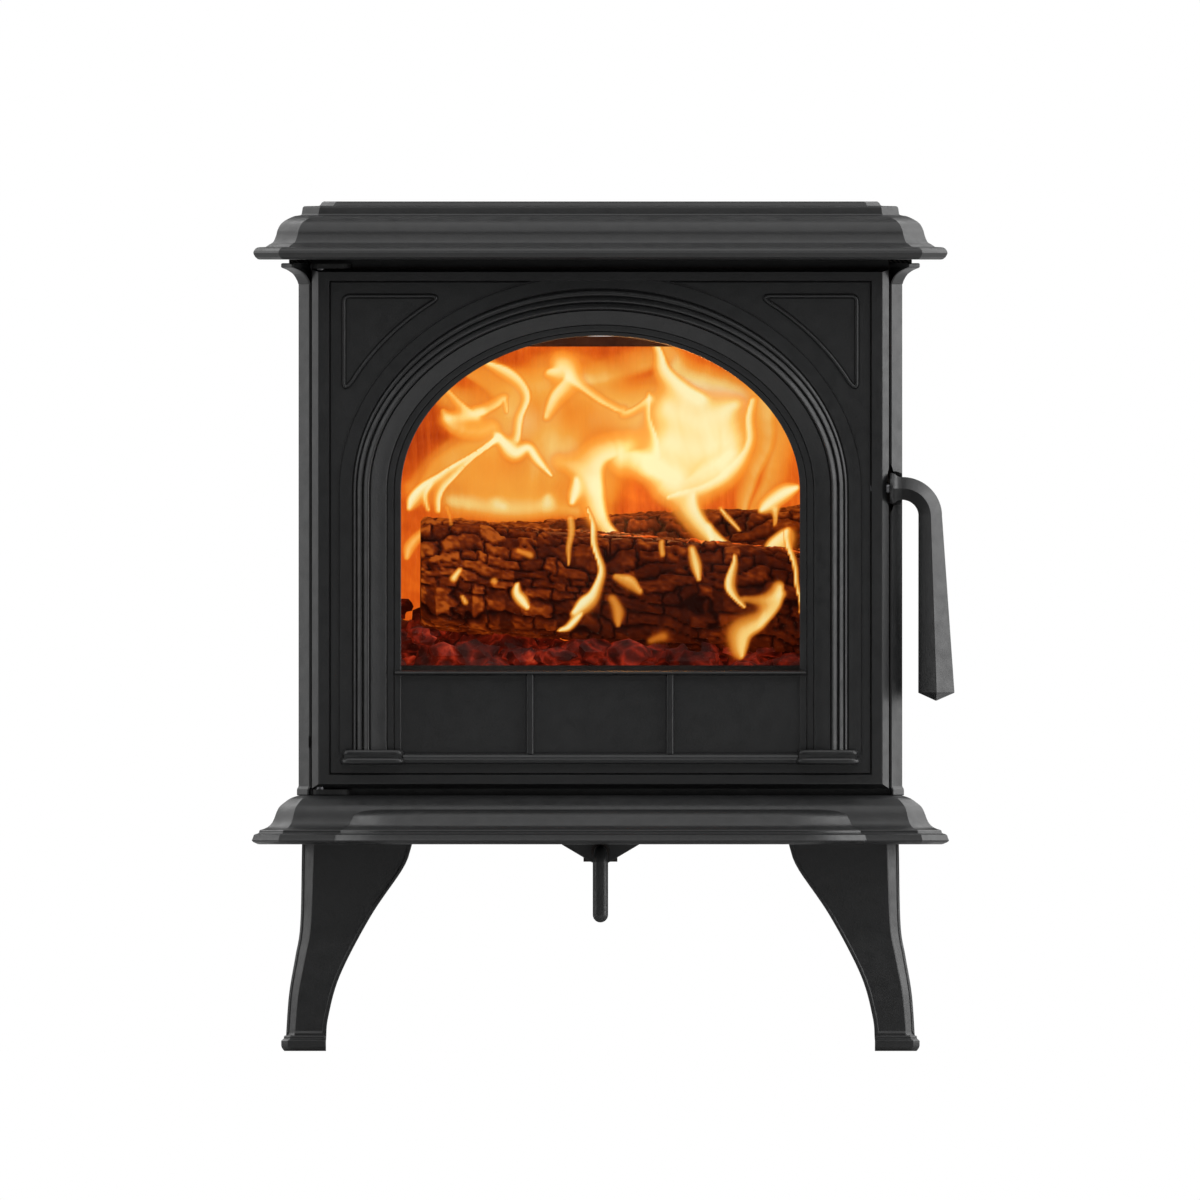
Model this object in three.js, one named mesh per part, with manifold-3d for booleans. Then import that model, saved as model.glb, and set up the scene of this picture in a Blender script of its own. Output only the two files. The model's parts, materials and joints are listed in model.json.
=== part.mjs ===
// Cast-iron wood burning stove on four cabriole legs, in millimetres.
// +Z is up, the door faces -Y and +X is to the viewer's right.
// The origin is on the floor under the middle of the stove.
import * as THREE from "three";
import { mergeVertices } from "three/addons/utils/BufferGeometryUtils.js";
import Module from "manifold-3d";

const wasm = await Module();
wasm.setup();

// ---- Driving dimensions ----
const GAP = 0.3; // between pieces that touch
const STOVE_HEIGHT = 601.5;

// Body box: two side walls, a back and a front frame between base and top castings.
const FACE_Y = -135; // front plane of the door
const BACK_Y = 155; // rear face of the back panel
const WALL = 7.9;
const BODY_HALF = 213.7; // outer face of a side wall
const WALL_IN = BODY_HALF - WALL;
const CORNER_Y = FACE_Y + 6; // foremost tip of a side wall, where its 45 degree corner starts
const FLOOR_TOP = 180.9;
const WALL_BOTTOM = FLOOR_TOP + 0.4;
const WALL_TOP = 557.8;
const CAPITAL_BOTTOM = 542.9;
const CAPITAL_FLARE = 12.3;
const CAPITAL_LIP = 3.2;
const INSIDE_BACK_Y = BACK_Y - 8;

// Top plate
const TOP = { half: 245.8, front: FACE_Y - 32.1, back: BACK_Y + 16, chamfer: 17.8, taper: 0.17 };
const TOP_UNDERSIDE = 560.3;
const TOP_HOLLOW = { half: 203, front: -106, z: 590.3 };
const TOP_HOLLOW_BACK = [[146.5, 559], [146.5, 566], [141, 572], [127, 590.3]]; // rear wall, [y, z]
const OUTLET_Y = 45;
const OUTLET_R = 58;
const OUTLET_COVER_R = 66;
const OUTLET_COVER_THICK = 7;

// Base plate with its ash lip
const BASE = { half: 246.8, front: FACE_Y - 33.1, back: BACK_Y + 18, chamfer: 18.8, taper: 0.295 };
const BASE_UNDERSIDE = 146.3;
const BASE_LIP_Z = 148.4;
const SLAB_UNDERSIDE = 168;
const BASE_HOLLOW = [[238, 145], [229, 157], [219, SLAB_UNDERSIDE]]; // half widths up the inside
const ASH_LIP = { reach: 24, turnHalf: 188, straightHalf: 145, topZ: 171 };
const SKID_X = 99;
const SKID_TOP = 206.7;

// Legs
const LEG_TOP = SLAB_UNDERSIDE - GAP;
const LEG_WALL = 7;
const LEG_FRONT_Y = -132.6; // front face of a front leg at its top
const LEG_BACK_Y = 144.8;
const LEG_HALF_TOP = 211.3;
const FOOT = { inner: 194.3, outer: 226, height: 7.3, step: 11.3 };
const LEG_PAD = { inner: 146, outer: 182, depth: 20, bottom: 158 };
const LEG_BOLT_X = 164;

// Door
const DOOR_HALF = 204.4;
const DOOR = { bottom: 185.8, top: 553.4, rear: FACE_Y + 14 };
const DOOR_FACE = { half: 199.8, bottom: 188.4, top: 551.7 };
const FIELD = { half: 191.7, bottom: 195.6, top: 543.9, y: FACE_Y + 1.5 };
const WINDOW = { half: 141.2, bottom: 269.3, spring: 396.5, rise: 109.8 };
const GLASS_OVERLAP = 8;
const GLASS_Y = [FACE_Y + 11.2, FACE_Y + 15.2];
const MOULDING_FOOT = 211;
const PANELS = [[-141, -52.7], [-47, 46.4], [52.1, 141]];
const PANEL_Z = [210.3, 265.3];
const PANEL_FLOOR_Y = FACE_Y + 5.5;
const PLINTH = { inner: 138.3, outer: 183.8, bottom: 203.5, step: 208.2, top: 212.3, reach: 8 };
const SPANDREL = { outer: 183, top: 536, archOffset: 56, bead: 2.8, relief: 1.6 };
const HINGE = { x: -198.5, y: FACE_Y + 6, pinR: 3 };
const ROPE = { inner: 169, outer: 179, bottom: 191, top: 542 };

// Front frame behind the door
const FRAME_Y = [FACE_Y + 18, FACE_Y + 26];
const DOORWAY = { half: 165, bottom: 205, top: 528 };

// Handle and latch turn about an axis along X, through the door's right edge.
const HANDLE_Y = FACE_Y + 7;
const HANDLE_Z = 398.3;
const HUB_R = 11;
const HUB_X = [204.9, 207.4];
const SPINDLE_R = 3.6;
const CAM_X = [155, 161];
const BEND = { x: 213.8, z: 378.7, ridge: 20 };
const GRIP_END_Z = 253.6;
const GRIP_TIP_Z = 248;

// Firebox
const HEARTH = { half: 205.4, front: -88, back: 122, z: [241.5, 249.5], legHalf: 156, wall: 6 };
const HEARTH_TOP = HEARTH.z[1] + GAP;
const BRICK_IN = 180;
const BRICK_TOP = 498.4;
const REAR_BRICK_Y = [97, 121.7];
const BAFFLE = { front: -60, z: [498.7, 506] };
const GRATE = { half: 85, front: -60, back: 70, thick: 7.5 };
const EMBERS = { half: 176, y: [-74, 94], top: 280, fallX: 9, fallY: 6 };
const GUARD = { half: 178, y: [-88, -83.5], top: 273 };
const PAN = { half: 130, front: -100, back: 105, bottom: SKID_TOP + GAP, top: 238, wall: 2 };
const FLUE_Z = 478;
const FLUE_R = 62.5;
const FLUE_BORE_R = 55.5;
const FLUE_END_Y = 193;
const FLANGE_R = 79;
const FLANGE_BOLT_X = 72;

// Tie rods clamp the top plate down on the base plate.
const ROD_X = 192;
const ROD_FRONT_Y = -98;
const ROD_BACK_Y = 129.6;
const ROD_R = 4;
const ROD_TOP = 576;

// Primary air control under the base plate
const AIR_Z = 141.3;
const AIR_ROD_R = 4.5;
const AIR_BRACKET_Y = -139;
const AIR_GRIP_R = 5.45;
const AIR_GRIP_Y = -164;
const AIR_GRIP_BOTTOM = 91;
const AIR_TRAVEL = 40;
const SLIDER = { half: 48, y: [-60, 35], z: [164.3, 167.4], tab: 12 };
const AIR_SLOT = { half: 30, y: [-52, -24] };

// ---- Materials ----
const paintedIron = () => finish("#262728", 0.62, 0.35);
const rawIron = () => finish("#2b2a29", 0.8, 0.3);
const steel = () => finish("#6f7072", 0.45, 0.8);
const rope = () => finish("#3c3b38", 0.95, 0);
const brick = () => finish("#a8906c", 0.9, 0);
const charred = () => finish("#2a1710", 0.95, 0);
const embers = () => finish("#5a1608", 0.9, 0);
const glass = () => finish("#1c130d", 0.08, 0);

function finish(color, roughness, metalness) {
  return new THREE.MeshStandardMaterial({ color, roughness, metalness });
}

// ---- Solid helpers ----
function signedVolume(positions, index) {
  const [a, b, c] = [new THREE.Vector3(), new THREE.Vector3(), new THREE.Vector3()];
  let sum = 0;
  for (let i = 0; i < index.length; i += 3) {
    a.fromArray(positions, index[i] * 3);
    b.fromArray(positions, index[i + 1] * 3);
    c.fromArray(positions, index[i + 2] * 3);
    sum += a.dot(b.cross(c));
  }
  return sum / 6;
}

// A closed geometry as a solid that can be joined and cut, turned to face outwards.
function solid(geometry) {
  const bare = geometry.clone();
  bare.deleteAttribute("normal");
  bare.deleteAttribute("uv");
  const merged = mergeVertices(bare, 1e-4);
  const vertProperties = merged.attributes.position.array;
  const triVerts = new Uint32Array(merged.index.array);
  if (signedVolume(vertProperties, triVerts) < 0) triVerts.reverse();
  return new wasm.Manifold(new wasm.Mesh({ numProp: 3, vertProperties, triVerts }));
}

function geometryOf(body) {
  const mesh = body.getMesh();
  const geometry = new THREE.BufferGeometry();
  geometry.setAttribute("position", new THREE.BufferAttribute(mesh.vertProperties, 3));
  geometry.setIndex(new THREE.BufferAttribute(mesh.triVerts, 1));
  geometry.computeVertexNormals();
  return geometry;
}

const joined = (bodies) => bodies.reduce((sum, body) => sum.add(body));
const ordered = (a, b) => [Math.min(a, b), Math.max(a, b)];

function box([x0, x1], [y0, y1], [z0, z1]) {
  const geometry = new THREE.BoxGeometry(x1 - x0, y1 - y0, z1 - z0);
  return solid(geometry.translate((x0 + x1) / 2, (y0 + y1) / 2, (z0 + z1) / 2));
}

// A cylinder along "x", "y" or "z" through the point centre, over the span [from, to].
function cylinder(radius, axis, [from, to], centre, sides = 20) {
  const geometry = new THREE.CylinderGeometry(radius, radius, to - from, sides);
  geometry.translate(0, (from + to) / 2, 0);
  if (axis === "x") geometry.rotateZ(-Math.PI / 2);
  if (axis === "z") geometry.rotateX(Math.PI / 2);
  return solid(geometry.translate(...centre));
}

const AXES = {
  x: new THREE.Vector3(1, 0, 0),
  y: new THREE.Vector3(0, 1, 0),
  z: new THREE.Vector3(0, 0, 1),
};

function extrude(shape, depth, curveSegments) {
  return new THREE.ExtrudeGeometry(shape, { depth, bevelEnabled: false, curveSegments });
}

// An outline drawn in plan (x, y), from one height to another.
function plate(shape, [z0, z1], curveSegments = 12) {
  return solid(extrude(shape, z1 - z0, curveSegments).translate(0, 0, z0));
}

// An outline drawn from the front (x, z), from one depth to another.
function panel(shape, [y0, y1], curveSegments = 12) {
  const turn = new THREE.Matrix4().makeBasis(AXES.x, AXES.z, AXES.y.clone().negate());
  return solid(extrude(shape, y1 - y0, curveSegments).applyMatrix4(turn).translate(0, y1, 0));
}

// An outline drawn from the side (y, z), from one x to another.
function slab(shape, [x0, x1], curveSegments = 12) {
  const turn = new THREE.Matrix4().makeBasis(AXES.y, AXES.z, AXES.x);
  return solid(extrude(shape, x1 - x0, curveSegments).applyMatrix4(turn).translate(x0, 0, 0));
}

const outline = (points) => new THREE.Shape(points.map(([x, y]) => new THREE.Vector2(x, y)));

// Triangles that fill a flat ring of points, running round it as the ring does.
function capOf(ring) {
  const normal = new THREE.Vector3();
  ring.forEach((p, i) => normal.add(p.clone().cross(ring[(i + 1) % ring.length])));
  const size = normal.toArray().map(Math.abs);
  const drop = size.indexOf(Math.max(...size));
  const flat = ring.map((p) => {
    const values = p.toArray();
    return new THREE.Vector2(values[(drop + 1) % 3], values[(drop + 2) % 3]);
  });
  const faces = THREE.ShapeUtils.triangulateShape(flat, []);
  const sign = Math.sign(normal.getComponent(drop));
  return faces.map(([a, b, c]) => {
    const ab = flat[b].clone().sub(flat[a]);
    const ac = flat[c].clone().sub(flat[a]);
    return ab.cross(ac) * sign > 0 ? [a, b, c] : [a, c, b];
  });
}

// Skins a row of rings that all have the same number of points, and closes both ends.
function skin(rings) {
  const count = rings[0].length;
  const index = [];
  for (let r = 0; r < rings.length - 1; r++) {
    for (let i = 0; i < count; i++) {
      const a = r * count + i;
      const b = r * count + ((i + 1) % count);
      index.push(a, b, b + count, a, b + count, a + count);
    }
  }
  const last = (rings.length - 1) * count;
  for (const [a, b, c] of capOf(rings[0])) index.push(a, c, b);
  for (const [a, b, c] of capOf(rings[rings.length - 1])) index.push(last + a, last + b, last + c);
  const geometry = new THREE.BufferGeometry();
  const positions = rings.flat().flatMap((p) => p.toArray());
  geometry.setAttribute("position", new THREE.Float32BufferAttribute(positions, 3));
  geometry.setIndex(index);
  return solid(geometry);
}

// A quarter of an ellipse from (x + rx, z) round to (x, z + rz), as [x, z] points.
function quarter(x, z, rx, rz, steps) {
  return Array.from({ length: steps + 1 }, (_, i) => {
    const turn = (i / steps) * (Math.PI / 2);
    return [x + rx * Math.cos(turn), z + rz * Math.sin(turn)];
  });
}

// ---- Moulded plates: a chamfered rectangle whose edge follows a profile ----
function chamferedRing(plan, half, z) {
  const inset = plan.half - half;
  const chamfer = plan.chamfer - plan.taper * inset;
  const front = plan.front + inset;
  const back = plan.back - inset;
  return [
    [half, front + chamfer],
    [half, back - chamfer],
    [half - chamfer, back],
    [chamfer - half, back],
    [-half, back - chamfer],
    [-half, front + chamfer],
    [chamfer - half, front],
    [half - chamfer, front],
  ].map(([x, y]) => new THREE.Vector3(x, y, z));
}

const mouldedPlate = (plan, profile) => skin(profile.map(([half, z]) => chamferedRing(plan, half, z)));

// A cove that turns up into a rounded shoulder, from the outer foot to the inner top.
function ogee([footHalf, footZ], [waistHalf, waistZ], [topHalf, topZ]) {
  const cove = quarter(footHalf, waistZ, waistHalf - footHalf, footZ - waistZ, 5).reverse();
  const shoulder = quarter(topHalf, waistZ, waistHalf - topHalf, topZ - waistZ, 6).slice(1);
  return [...cove, ...shoulder];
}

function topPlate() {
  const profile = [
    [241.5, TOP_UNDERSIDE],
    [TOP.half, 564.6],
    [243.1, 568.9],
    ...ogee([236.6, 569.2], [229, 577.8], [215.5, 591.4]),
    [211.4, 591.9],
    [210.3, 598.1],
    [198.7, 598.4],
    [197.9, 600.4],
    [196.5, STOVE_HEIGHT],
  ];
  const bosses = rodPlaces().map(([x, y]) =>
    cylinder(9, "z", [TOP_UNDERSIDE + GAP, TOP_HOLLOW.z + 1], [x, y, 0]),
  );
  const holes = rodPlaces().map(([x, y]) => cylinder(ROD_R + 0.4, "z", [550, ROD_TOP + 1], [x, y, 0]));
  const { half, front } = TOP_HOLLOW;
  const side = outline([[front, 559], ...TOP_HOLLOW_BACK, [front, TOP_HOLLOW.z]]);
  const hollow = slab(side, [-half, half]);
  const outlet = cylinder(OUTLET_R, "z", [550, 610], [0, OUTLET_Y, 0], 40);
  const rebateZ = STOVE_HEIGHT - OUTLET_COVER_THICK - GAP;
  const rebate = cylinder(OUTLET_COVER_R + 0.4, "z", [rebateZ, 610], [0, OUTLET_Y, 0], 40);
  return mouldedPlate(TOP, profile)
    .subtract(hollow)
    .add(joined(bosses))
    .subtract(joined([outlet, rebate, ...holes]));
}

function outletCover() {
  const span = [STOVE_HEIGHT - OUTLET_COVER_THICK, STOVE_HEIGHT];
  return cylinder(OUTLET_COVER_R, "z", span, [0, OUTLET_Y, 0], 40);
}

// Rope that seals the top plate to the walls.
function topSealRope() {
  const span = [WALL_TOP + GAP, TOP_UNDERSIDE - GAP];
  const outer = box([-212.5, 212.5], [-116.5, 154.5], span);
  return outer.subtract(box([-206.5, 206.5], [-110.5, 148.5], [span[0] - 1, span[1] + 1]));
}

// The edge of the base plate in section, as [half width, height].
const BASE_PROFILE = [
  [242.6, BASE_UNDERSIDE],
  [BASE.half, BASE_LIP_Z],
  [244.6, 153.3],
  [241.8, 154.5],
  [241.4, 156.5],
];

// One level of the ash lip: the front edge bulges forward between two curved ends.
function ashLipRing(half, z) {
  const inset = BASE.half - half;
  const { reach, turnHalf, straightHalf } = ASH_LIP;
  const rootY = BASE.front + inset;
  const end = turnHalf - 0.83 * inset;
  const run = turnHalf - straightHalf;
  const curve = [0, 0.12, 0.3, 0.5, 0.75, 1].map((t) => {
    const forward = Math.sin((t * Math.PI) / 2);
    return [end - run * (1 - Math.cos((t * Math.PI) / 2)) * 0.6 - run * 0.4 * t, rootY - reach * forward];
  });
  const right = curve.map(([x, y]) => new THREE.Vector3(x, y, z));
  const left = curve.map(([x, y]) => new THREE.Vector3(-x, y, z)).reverse();
  const behind = BASE.front + 45;
  const corners = [new THREE.Vector3(-end, behind, z), new THREE.Vector3(end, behind, z)];
  return [...left, ...corners, ...right].reverse();
}

function ashLip() {
  const shelf = [[237.7, 157.7], [232.6, 160.6], [230.4, 165], [227.5, 168.4], [222, ASH_LIP.topZ]];
  return skin([...BASE_PROFILE, ...shelf].map(([half, z]) => ashLipRing(half, z)));
}

function basePlate() {
  const profile = [...BASE_PROFILE, ...ogee([237.7, 157.7], [228.7, 168], [213.3, FLOOR_TOP])];
  const hollow = mouldedPlate(BASE, BASE_HOLLOW);
  const skids = [-SKID_X, SKID_X].map((x) => box([x - 4, x + 4], [-95, 110], [FLOOR_TOP - 1, SKID_TOP]));
  const rodHoles = rodPlaces().map(([x, y]) => cylinder(ROD_R + 0.6, "z", [150, 200], [x, y, 0]));
  const legHoles = legPlaces().map(({ x, y }) => cylinder(5.2, "z", [150, 178.5], [x, y, 0]));
  const slot = box([-AIR_SLOT.half, AIR_SLOT.half], AIR_SLOT.y, [150, 200]);
  return mouldedPlate(BASE, profile)
    .add(ashLip())
    .subtract(hollow)
    .add(joined(skids))
    .subtract(joined([slot, ...rodHoles, ...legHoles]));
}

// ---- Body walls ----
function rodPlaces() {
  return [-1, 1].flatMap((side) => [[side * ROD_X, ROD_FRONT_Y], [side * ROD_X, ROD_BACK_Y]]);
}

// A right side wall: 45 degree corners, a flared capital at the top and a small flare at the foot.
function sideWall() {
  const wallRing = (flare, z) =>
    [
      [WALL_IN, CORNER_Y - flare],
      [BODY_HALF + flare, CORNER_Y + WALL],
      [BODY_HALF + flare, BACK_Y - WALL],
      [WALL_IN, BACK_Y + flare * 0.5],
    ].map(([x, y]) => new THREE.Vector3(x, y, z));
  const capitalRing = (flare, z) =>
    [
      [WALL_IN, CORNER_Y - flare],
      [WALL_IN + flare, CORNER_Y - flare],
      [BODY_HALF + flare, CORNER_Y + WALL - flare],
      [BODY_HALF + flare, BACK_Y - WALL],
      [WALL_IN + flare, BACK_Y],
      [WALL_IN, BACK_Y],
    ].map(([x, y]) => new THREE.Vector3(x, y, z));
  const cove = quarter(0, 0, 1, 1, 6).map(([across, up]) => {
    const z = CAPITAL_BOTTOM + (WALL_TOP - CAPITAL_LIP - CAPITAL_BOTTOM) * up;
    return capitalRing(0.2 + (CAPITAL_FLARE - 0.2) * (1 - across), z);
  });
  const capital = skin([...cove, capitalRing(CAPITAL_FLARE, WALL_TOP)]);
  const wall = skin([wallRing(1, WALL_BOTTOM), wallRing(0, WALL_BOTTOM + 6), wallRing(0, WALL_TOP)]);
  const field = box([BODY_HALF - 1.5, BODY_HALF + 1], [-98, 125], [205, 520]);
  return wall.add(capital).subtract(field);
}

// The lens-shaped notch round the handle's hub, in the seam between door and right wall.
function hubNotch() {
  const lens = new THREE.SphereGeometry(1, 24, 16).scale(3.2, 12, 18);
  return solid(lens.translate(WALL_IN - 0.4, HANDLE_Y + 1, HANDLE_Z));
}

function rightWall() {
  const pocket = cylinder(HUB_R + 1.2, "x", [WALL_IN - 1, BODY_HALF + 1], [0, HANDLE_Y, HANDLE_Z], 28);
  return sideWall().subtract(pocket).subtract(hubNotch());
}

function leftWall() {
  const slit = box([-WALL_IN - 1.2, -WALL_IN + 1], [CORNER_Y - 2, CORNER_Y + 6], [214.7, 223]);
  return sideWall().mirror([1, 0, 0]).subtract(slit);
}

// Holes for the two bolts that hold the flue collar.
const flangeHoles = (span) =>
  [-FLANGE_BOLT_X, FLANGE_BOLT_X].map((x) => cylinder(3.3, "y", span, [x, 0, FLUE_Z], 12));

function backPanel() {
  const half = WALL_IN - GAP;
  const sheet = box([-half, half], [INSIDE_BACK_Y, BACK_Y], [WALL_BOTTOM, WALL_TOP]);
  const ribs = [-120, 120].map((x) => box([x - 5, x + 5], [122.2, INSIDE_BACK_Y + 1], [250, 498]));
  const bore = cylinder(FLUE_BORE_R, "y", [140, 160], [0, 0, FLUE_Z], 40);
  return sheet.add(joined(ribs)).subtract(joined([bore, ...flangeHoles([149, 160])]));
}

function frontFrame() {
  const half = WALL_IN - 0.5;
  const sheet = box([-half, half], FRAME_Y, [WALL_BOTTOM, WALL_TOP - GAP]);
  const doorway = box([-DOORWAY.half, DOORWAY.half], [-130, -100], [DOORWAY.bottom, DOORWAY.top]);
  return sheet.subtract(doorway);
}

function flueCollar() {
  const profile = [
    [FLUE_BORE_R, BACK_Y + GAP],
    [FLANGE_R, BACK_Y + GAP],
    [FLANGE_R, BACK_Y + 8],
    [FLUE_R + 2.5, BACK_Y + 8],
    [FLUE_R, BACK_Y + 11],
    [FLUE_R, FLUE_END_Y],
    [FLUE_BORE_R, FLUE_END_Y],
    [FLUE_BORE_R, BACK_Y + GAP],
  ].map(([r, y]) => new THREE.Vector2(r, y));
  const turned = solid(new THREE.LatheGeometry(profile, 40).translate(0, 0, FLUE_Z));
  return turned.subtract(joined(flangeHoles([150, 170])));
}

// ---- Legs ----
// Inner edge of a leg's front wing, seen from the front: a cabriole sweep.
const legInner = new THREE.SplineCurve(
  [[133.4, 146], [139.5, 129.6], [162.4, 95.7], [184.2, 54], [192.7, 24], [194.2, 8]].map(
    ([x, z]) => new THREE.Vector2(x, z),
  ),
);
const legOuter = new THREE.SplineCurve(
  [[211.3, 146], [212.5, 90], [216, 67], [220.5, 40], [222.8, 8]].map(([x, z]) => new THREE.Vector2(x, z)),
);

// The half width of a curve at a height, by halving the step along it.
function halfWidthAt(curve, z) {
  if (z >= curve.getPoint(0).y) return curve.getPoint(0).x;
  let [low, high] = [0, 1];
  for (let i = 0; i < 30; i++) {
    const middle = (low + high) / 2;
    if (curve.getPoint(middle).y > z) low = middle;
    else high = middle;
  }
  return curve.getPoint(low).x;
}

// A leg is an angle of two wings that meet in a chamfered corner; side and end are +1 or -1.
function leg(side, end) {
  const faceY = end < 0 ? LEG_FRONT_Y : LEG_BACK_Y;
  const place = (u, v, half, z) => {
    const spread = half - LEG_HALF_TOP;
    return new THREE.Vector3(side * (half - u), faceY + end * (spread - v), z);
  };
  const heights = [LEG_TOP, 146, 138, 130, 118, 106, 94, 80, 66, 52, 38, 24, 8];
  const rings = heights.map((z) => {
    const half = halfWidthAt(legOuter, z);
    const width = half - halfWidthAt(legInner, z);
    const bevel = THREE.MathUtils.mapLinear(z, 8, LEG_TOP, 3.6, 6.5);
    const w = LEG_WALL;
    return [[bevel, 0], [width, 0], [width, w], [w, w], [w, width], [0, width], [0, bevel]].map(([u, v]) =>
      place(u, v, half, z),
    );
  });
  const footRing = (grow, z) => {
    const width = FOOT.outer - FOOT.inner + grow;
    const half = FOOT.outer + grow;
    return [[5, 0], [width, 0], [width, width], [0, width], [0, 5]].map(([u, v]) => place(u, v, half, z));
  };
  const footSteps = [[-1, 0], [0, 1], [0, FOOT.height - 1], [-1, FOOT.height]];
  const foot = skin(footSteps.map(([grow, z]) => footRing(grow, z)));
  const step = skin([footRing(-3, FOOT.height - 1), footRing(-3, FOOT.step)]);
  const padY = ordered(faceY - end * (LEG_WALL - 1), faceY - end * (LEG_WALL + LEG_PAD.depth));
  const pad = box(ordered(side * LEG_PAD.inner, side * LEG_PAD.outer), padY, [LEG_PAD.bottom, LEG_TOP]);
  const boltY = faceY - end * (LEG_WALL + LEG_PAD.depth / 2);
  const hole = cylinder(5.3, "z", [150, 170], [side * LEG_BOLT_X, boltY, 0]);
  return skin(rings).add(foot).add(step).add(pad).subtract(hole);
}

function legPlaces() {
  return [["front", -1], ["rear", 1]].flatMap(([endName, end]) =>
    [["left", -1], ["right", 1]].map(([sideName, side]) => {
      const faceY = end < 0 ? LEG_FRONT_Y : LEG_BACK_Y;
      const y = faceY - end * (LEG_WALL + LEG_PAD.depth / 2);
      return { name: `${endName}_${sideName}`, side, end, x: side * LEG_BOLT_X, y };
    }),
  );
}

// ---- Fasteners: the underside of the head is at the origin and the shank points up +Z ----
function bolt(headR, headThick, shankR, shankLength) {
  const head = cylinder(headR, "z", [-headThick, 0], [0, 0, 0], 6);
  return head.add(cylinder(shankR, "z", [-1, shankLength], [0, 0, 0], 14));
}

// ---- Door ----
// The window outline, grown outwards by an offset: straight jambs under a half ellipse.
function windowOutline(offset) {
  const { half, bottom, spring, rise } = WINDOW;
  const shape = new THREE.Shape();
  shape.moveTo(-half - offset, bottom - offset);
  shape.lineTo(half + offset, bottom - offset);
  shape.lineTo(half + offset, spring);
  shape.absellipse(0, spring, half + offset, rise + offset, 0, Math.PI, false);
  return shape;
}

// The moulding's section, as [offset from the window edge, height above the door's field].
const MOULDING = [
  [-1, -2], [1.4, -1.2], [5.4, 0.4], [10.1, 1.4], [17, 3], [23.8, 5.4],
  [27, 5], [29.9, 4.2], [34.3, 3.2], [35, 0.9], [44.4, 0.2], [44.4, -6], [-1, -6],
];

function archMoulding() {
  const { half, spring, rise } = WINDOW;
  const section = (place) => MOULDING.map(([offset, height]) => {
    const [x, z] = place(offset);
    return new THREE.Vector3(x, FIELD.y - height, z);
  });
  const steps = 30;
  const arch = Array.from({ length: steps + 1 }, (_, i) => {
    const turn = Math.PI * (1 - i / steps);
    return section((o) => [(half + o) * Math.cos(turn), spring + (rise + o) * Math.sin(turn)]);
  });
  const foot = (side) => section((o) => [side * (half + o), MOULDING_FOOT]);
  return skin([foot(-1), ...arch, foot(1)]);
}

// A plinth block under each jamb, with a bowed front.
function plinth(side) {
  const { inner, outer, bottom, step, top, reach } = PLINTH;
  const bowed = (x0, x1, forward) => {
    const shape = new THREE.Shape();
    shape.moveTo(x0, FIELD.y + 2);
    shape.lineTo(x0, FIELD.y - forward + 2);
    shape.quadraticCurveTo((x0 + x1) / 2, FIELD.y - forward - 2, x1, FIELD.y - forward + 2);
    shape.lineTo(x1, FIELD.y + 2);
    return shape;
  };
  const lower = plate(bowed(inner, outer, reach), [bottom, step], 6);
  const upper = plate(bowed(inner + 0.7, outer - 2.2, reach - 1.5), [step - 1, top], 6);
  const both = lower.add(upper);
  return side < 0 ? both.mirror([1, 0, 0]) : both;
}

// The corner panel above the arch: a three-sided figure with a curved long side.
function spandrelOutline(inset) {
  const a = WINDOW.half + SPANDREL.archOffset + inset;
  const b = WINDOW.rise + SPANDREL.archOffset + inset;
  const outer = SPANDREL.outer - inset;
  const top = SPANDREL.top - inset;
  const tipTurn = Math.acos((SPANDREL.outer - 4 - inset) / a);
  const topTurn = Math.asin((top - 2.5 - WINDOW.spring) / b);
  const shape = new THREE.Shape();
  shape.moveTo(outer, top);
  shape.lineTo(a * Math.cos(topTurn), top);
  for (let i = 0; i <= 8; i++) {
    const turn = THREE.MathUtils.lerp(topTurn, tipTurn, i / 8);
    shape.lineTo(a * Math.cos(turn), WINDOW.spring + b * Math.sin(turn));
  }
  shape.lineTo(outer, WINDOW.spring + b * Math.sin(tipTurn));
  return shape;
}

function spandrelBead(side) {
  const depth = [FIELD.y - SPANDREL.relief, FIELD.y + 1];
  const cut = [depth[0] - 1, depth[1] + 1];
  const ring = panel(spandrelOutline(0), depth).subtract(panel(spandrelOutline(SPANDREL.bead), cut));
  return side < 0 ? ring.mirror([1, 0, 0]) : ring;
}

function clipPlaces() {
  const { half, bottom, spring, rise } = WINDOW;
  const jamb = { x: half, z: bottom + 40, turn: 0 };
  const turn = THREE.MathUtils.degToRad(40);
  const shoulder = { x: half * Math.cos(turn), z: spring + rise * Math.sin(turn), turn };
  return [["lower", jamb], ["upper", shoulder]].flatMap(([level, place]) =>
    [["left", -1], ["right", 1]].map(([sideName, side]) => ({
      name: `${level}_${sideName}`,
      x: side * place.x,
      z: place.z,
      turn: side < 0 ? Math.PI - place.turn : place.turn,
    })),
  );
}
const CLIP_SCREW_OFFSET = 17;
const clipScrewPlace = ({ x, z, turn }) => [
  x + CLIP_SCREW_OFFSET * Math.cos(turn),
  z + CLIP_SCREW_OFFSET * Math.sin(turn),
];

function doorSlab() {
  const ring = (half, bottom, top, y) => {
    const corners = [[-half, bottom], [half, bottom], [half, top], [-half, top]];
    return corners.map(([x, z]) => new THREE.Vector3(x, y, z));
  };
  const face = DOOR_FACE;
  return skin([
    ring(DOOR_HALF, DOOR.bottom, DOOR.top, DOOR.rear),
    ring(DOOR_HALF, DOOR.bottom, DOOR.top, FACE_Y + DOOR_HALF - face.half),
    ring(face.half, face.bottom, face.top, FACE_Y),
  ]);
}

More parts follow.
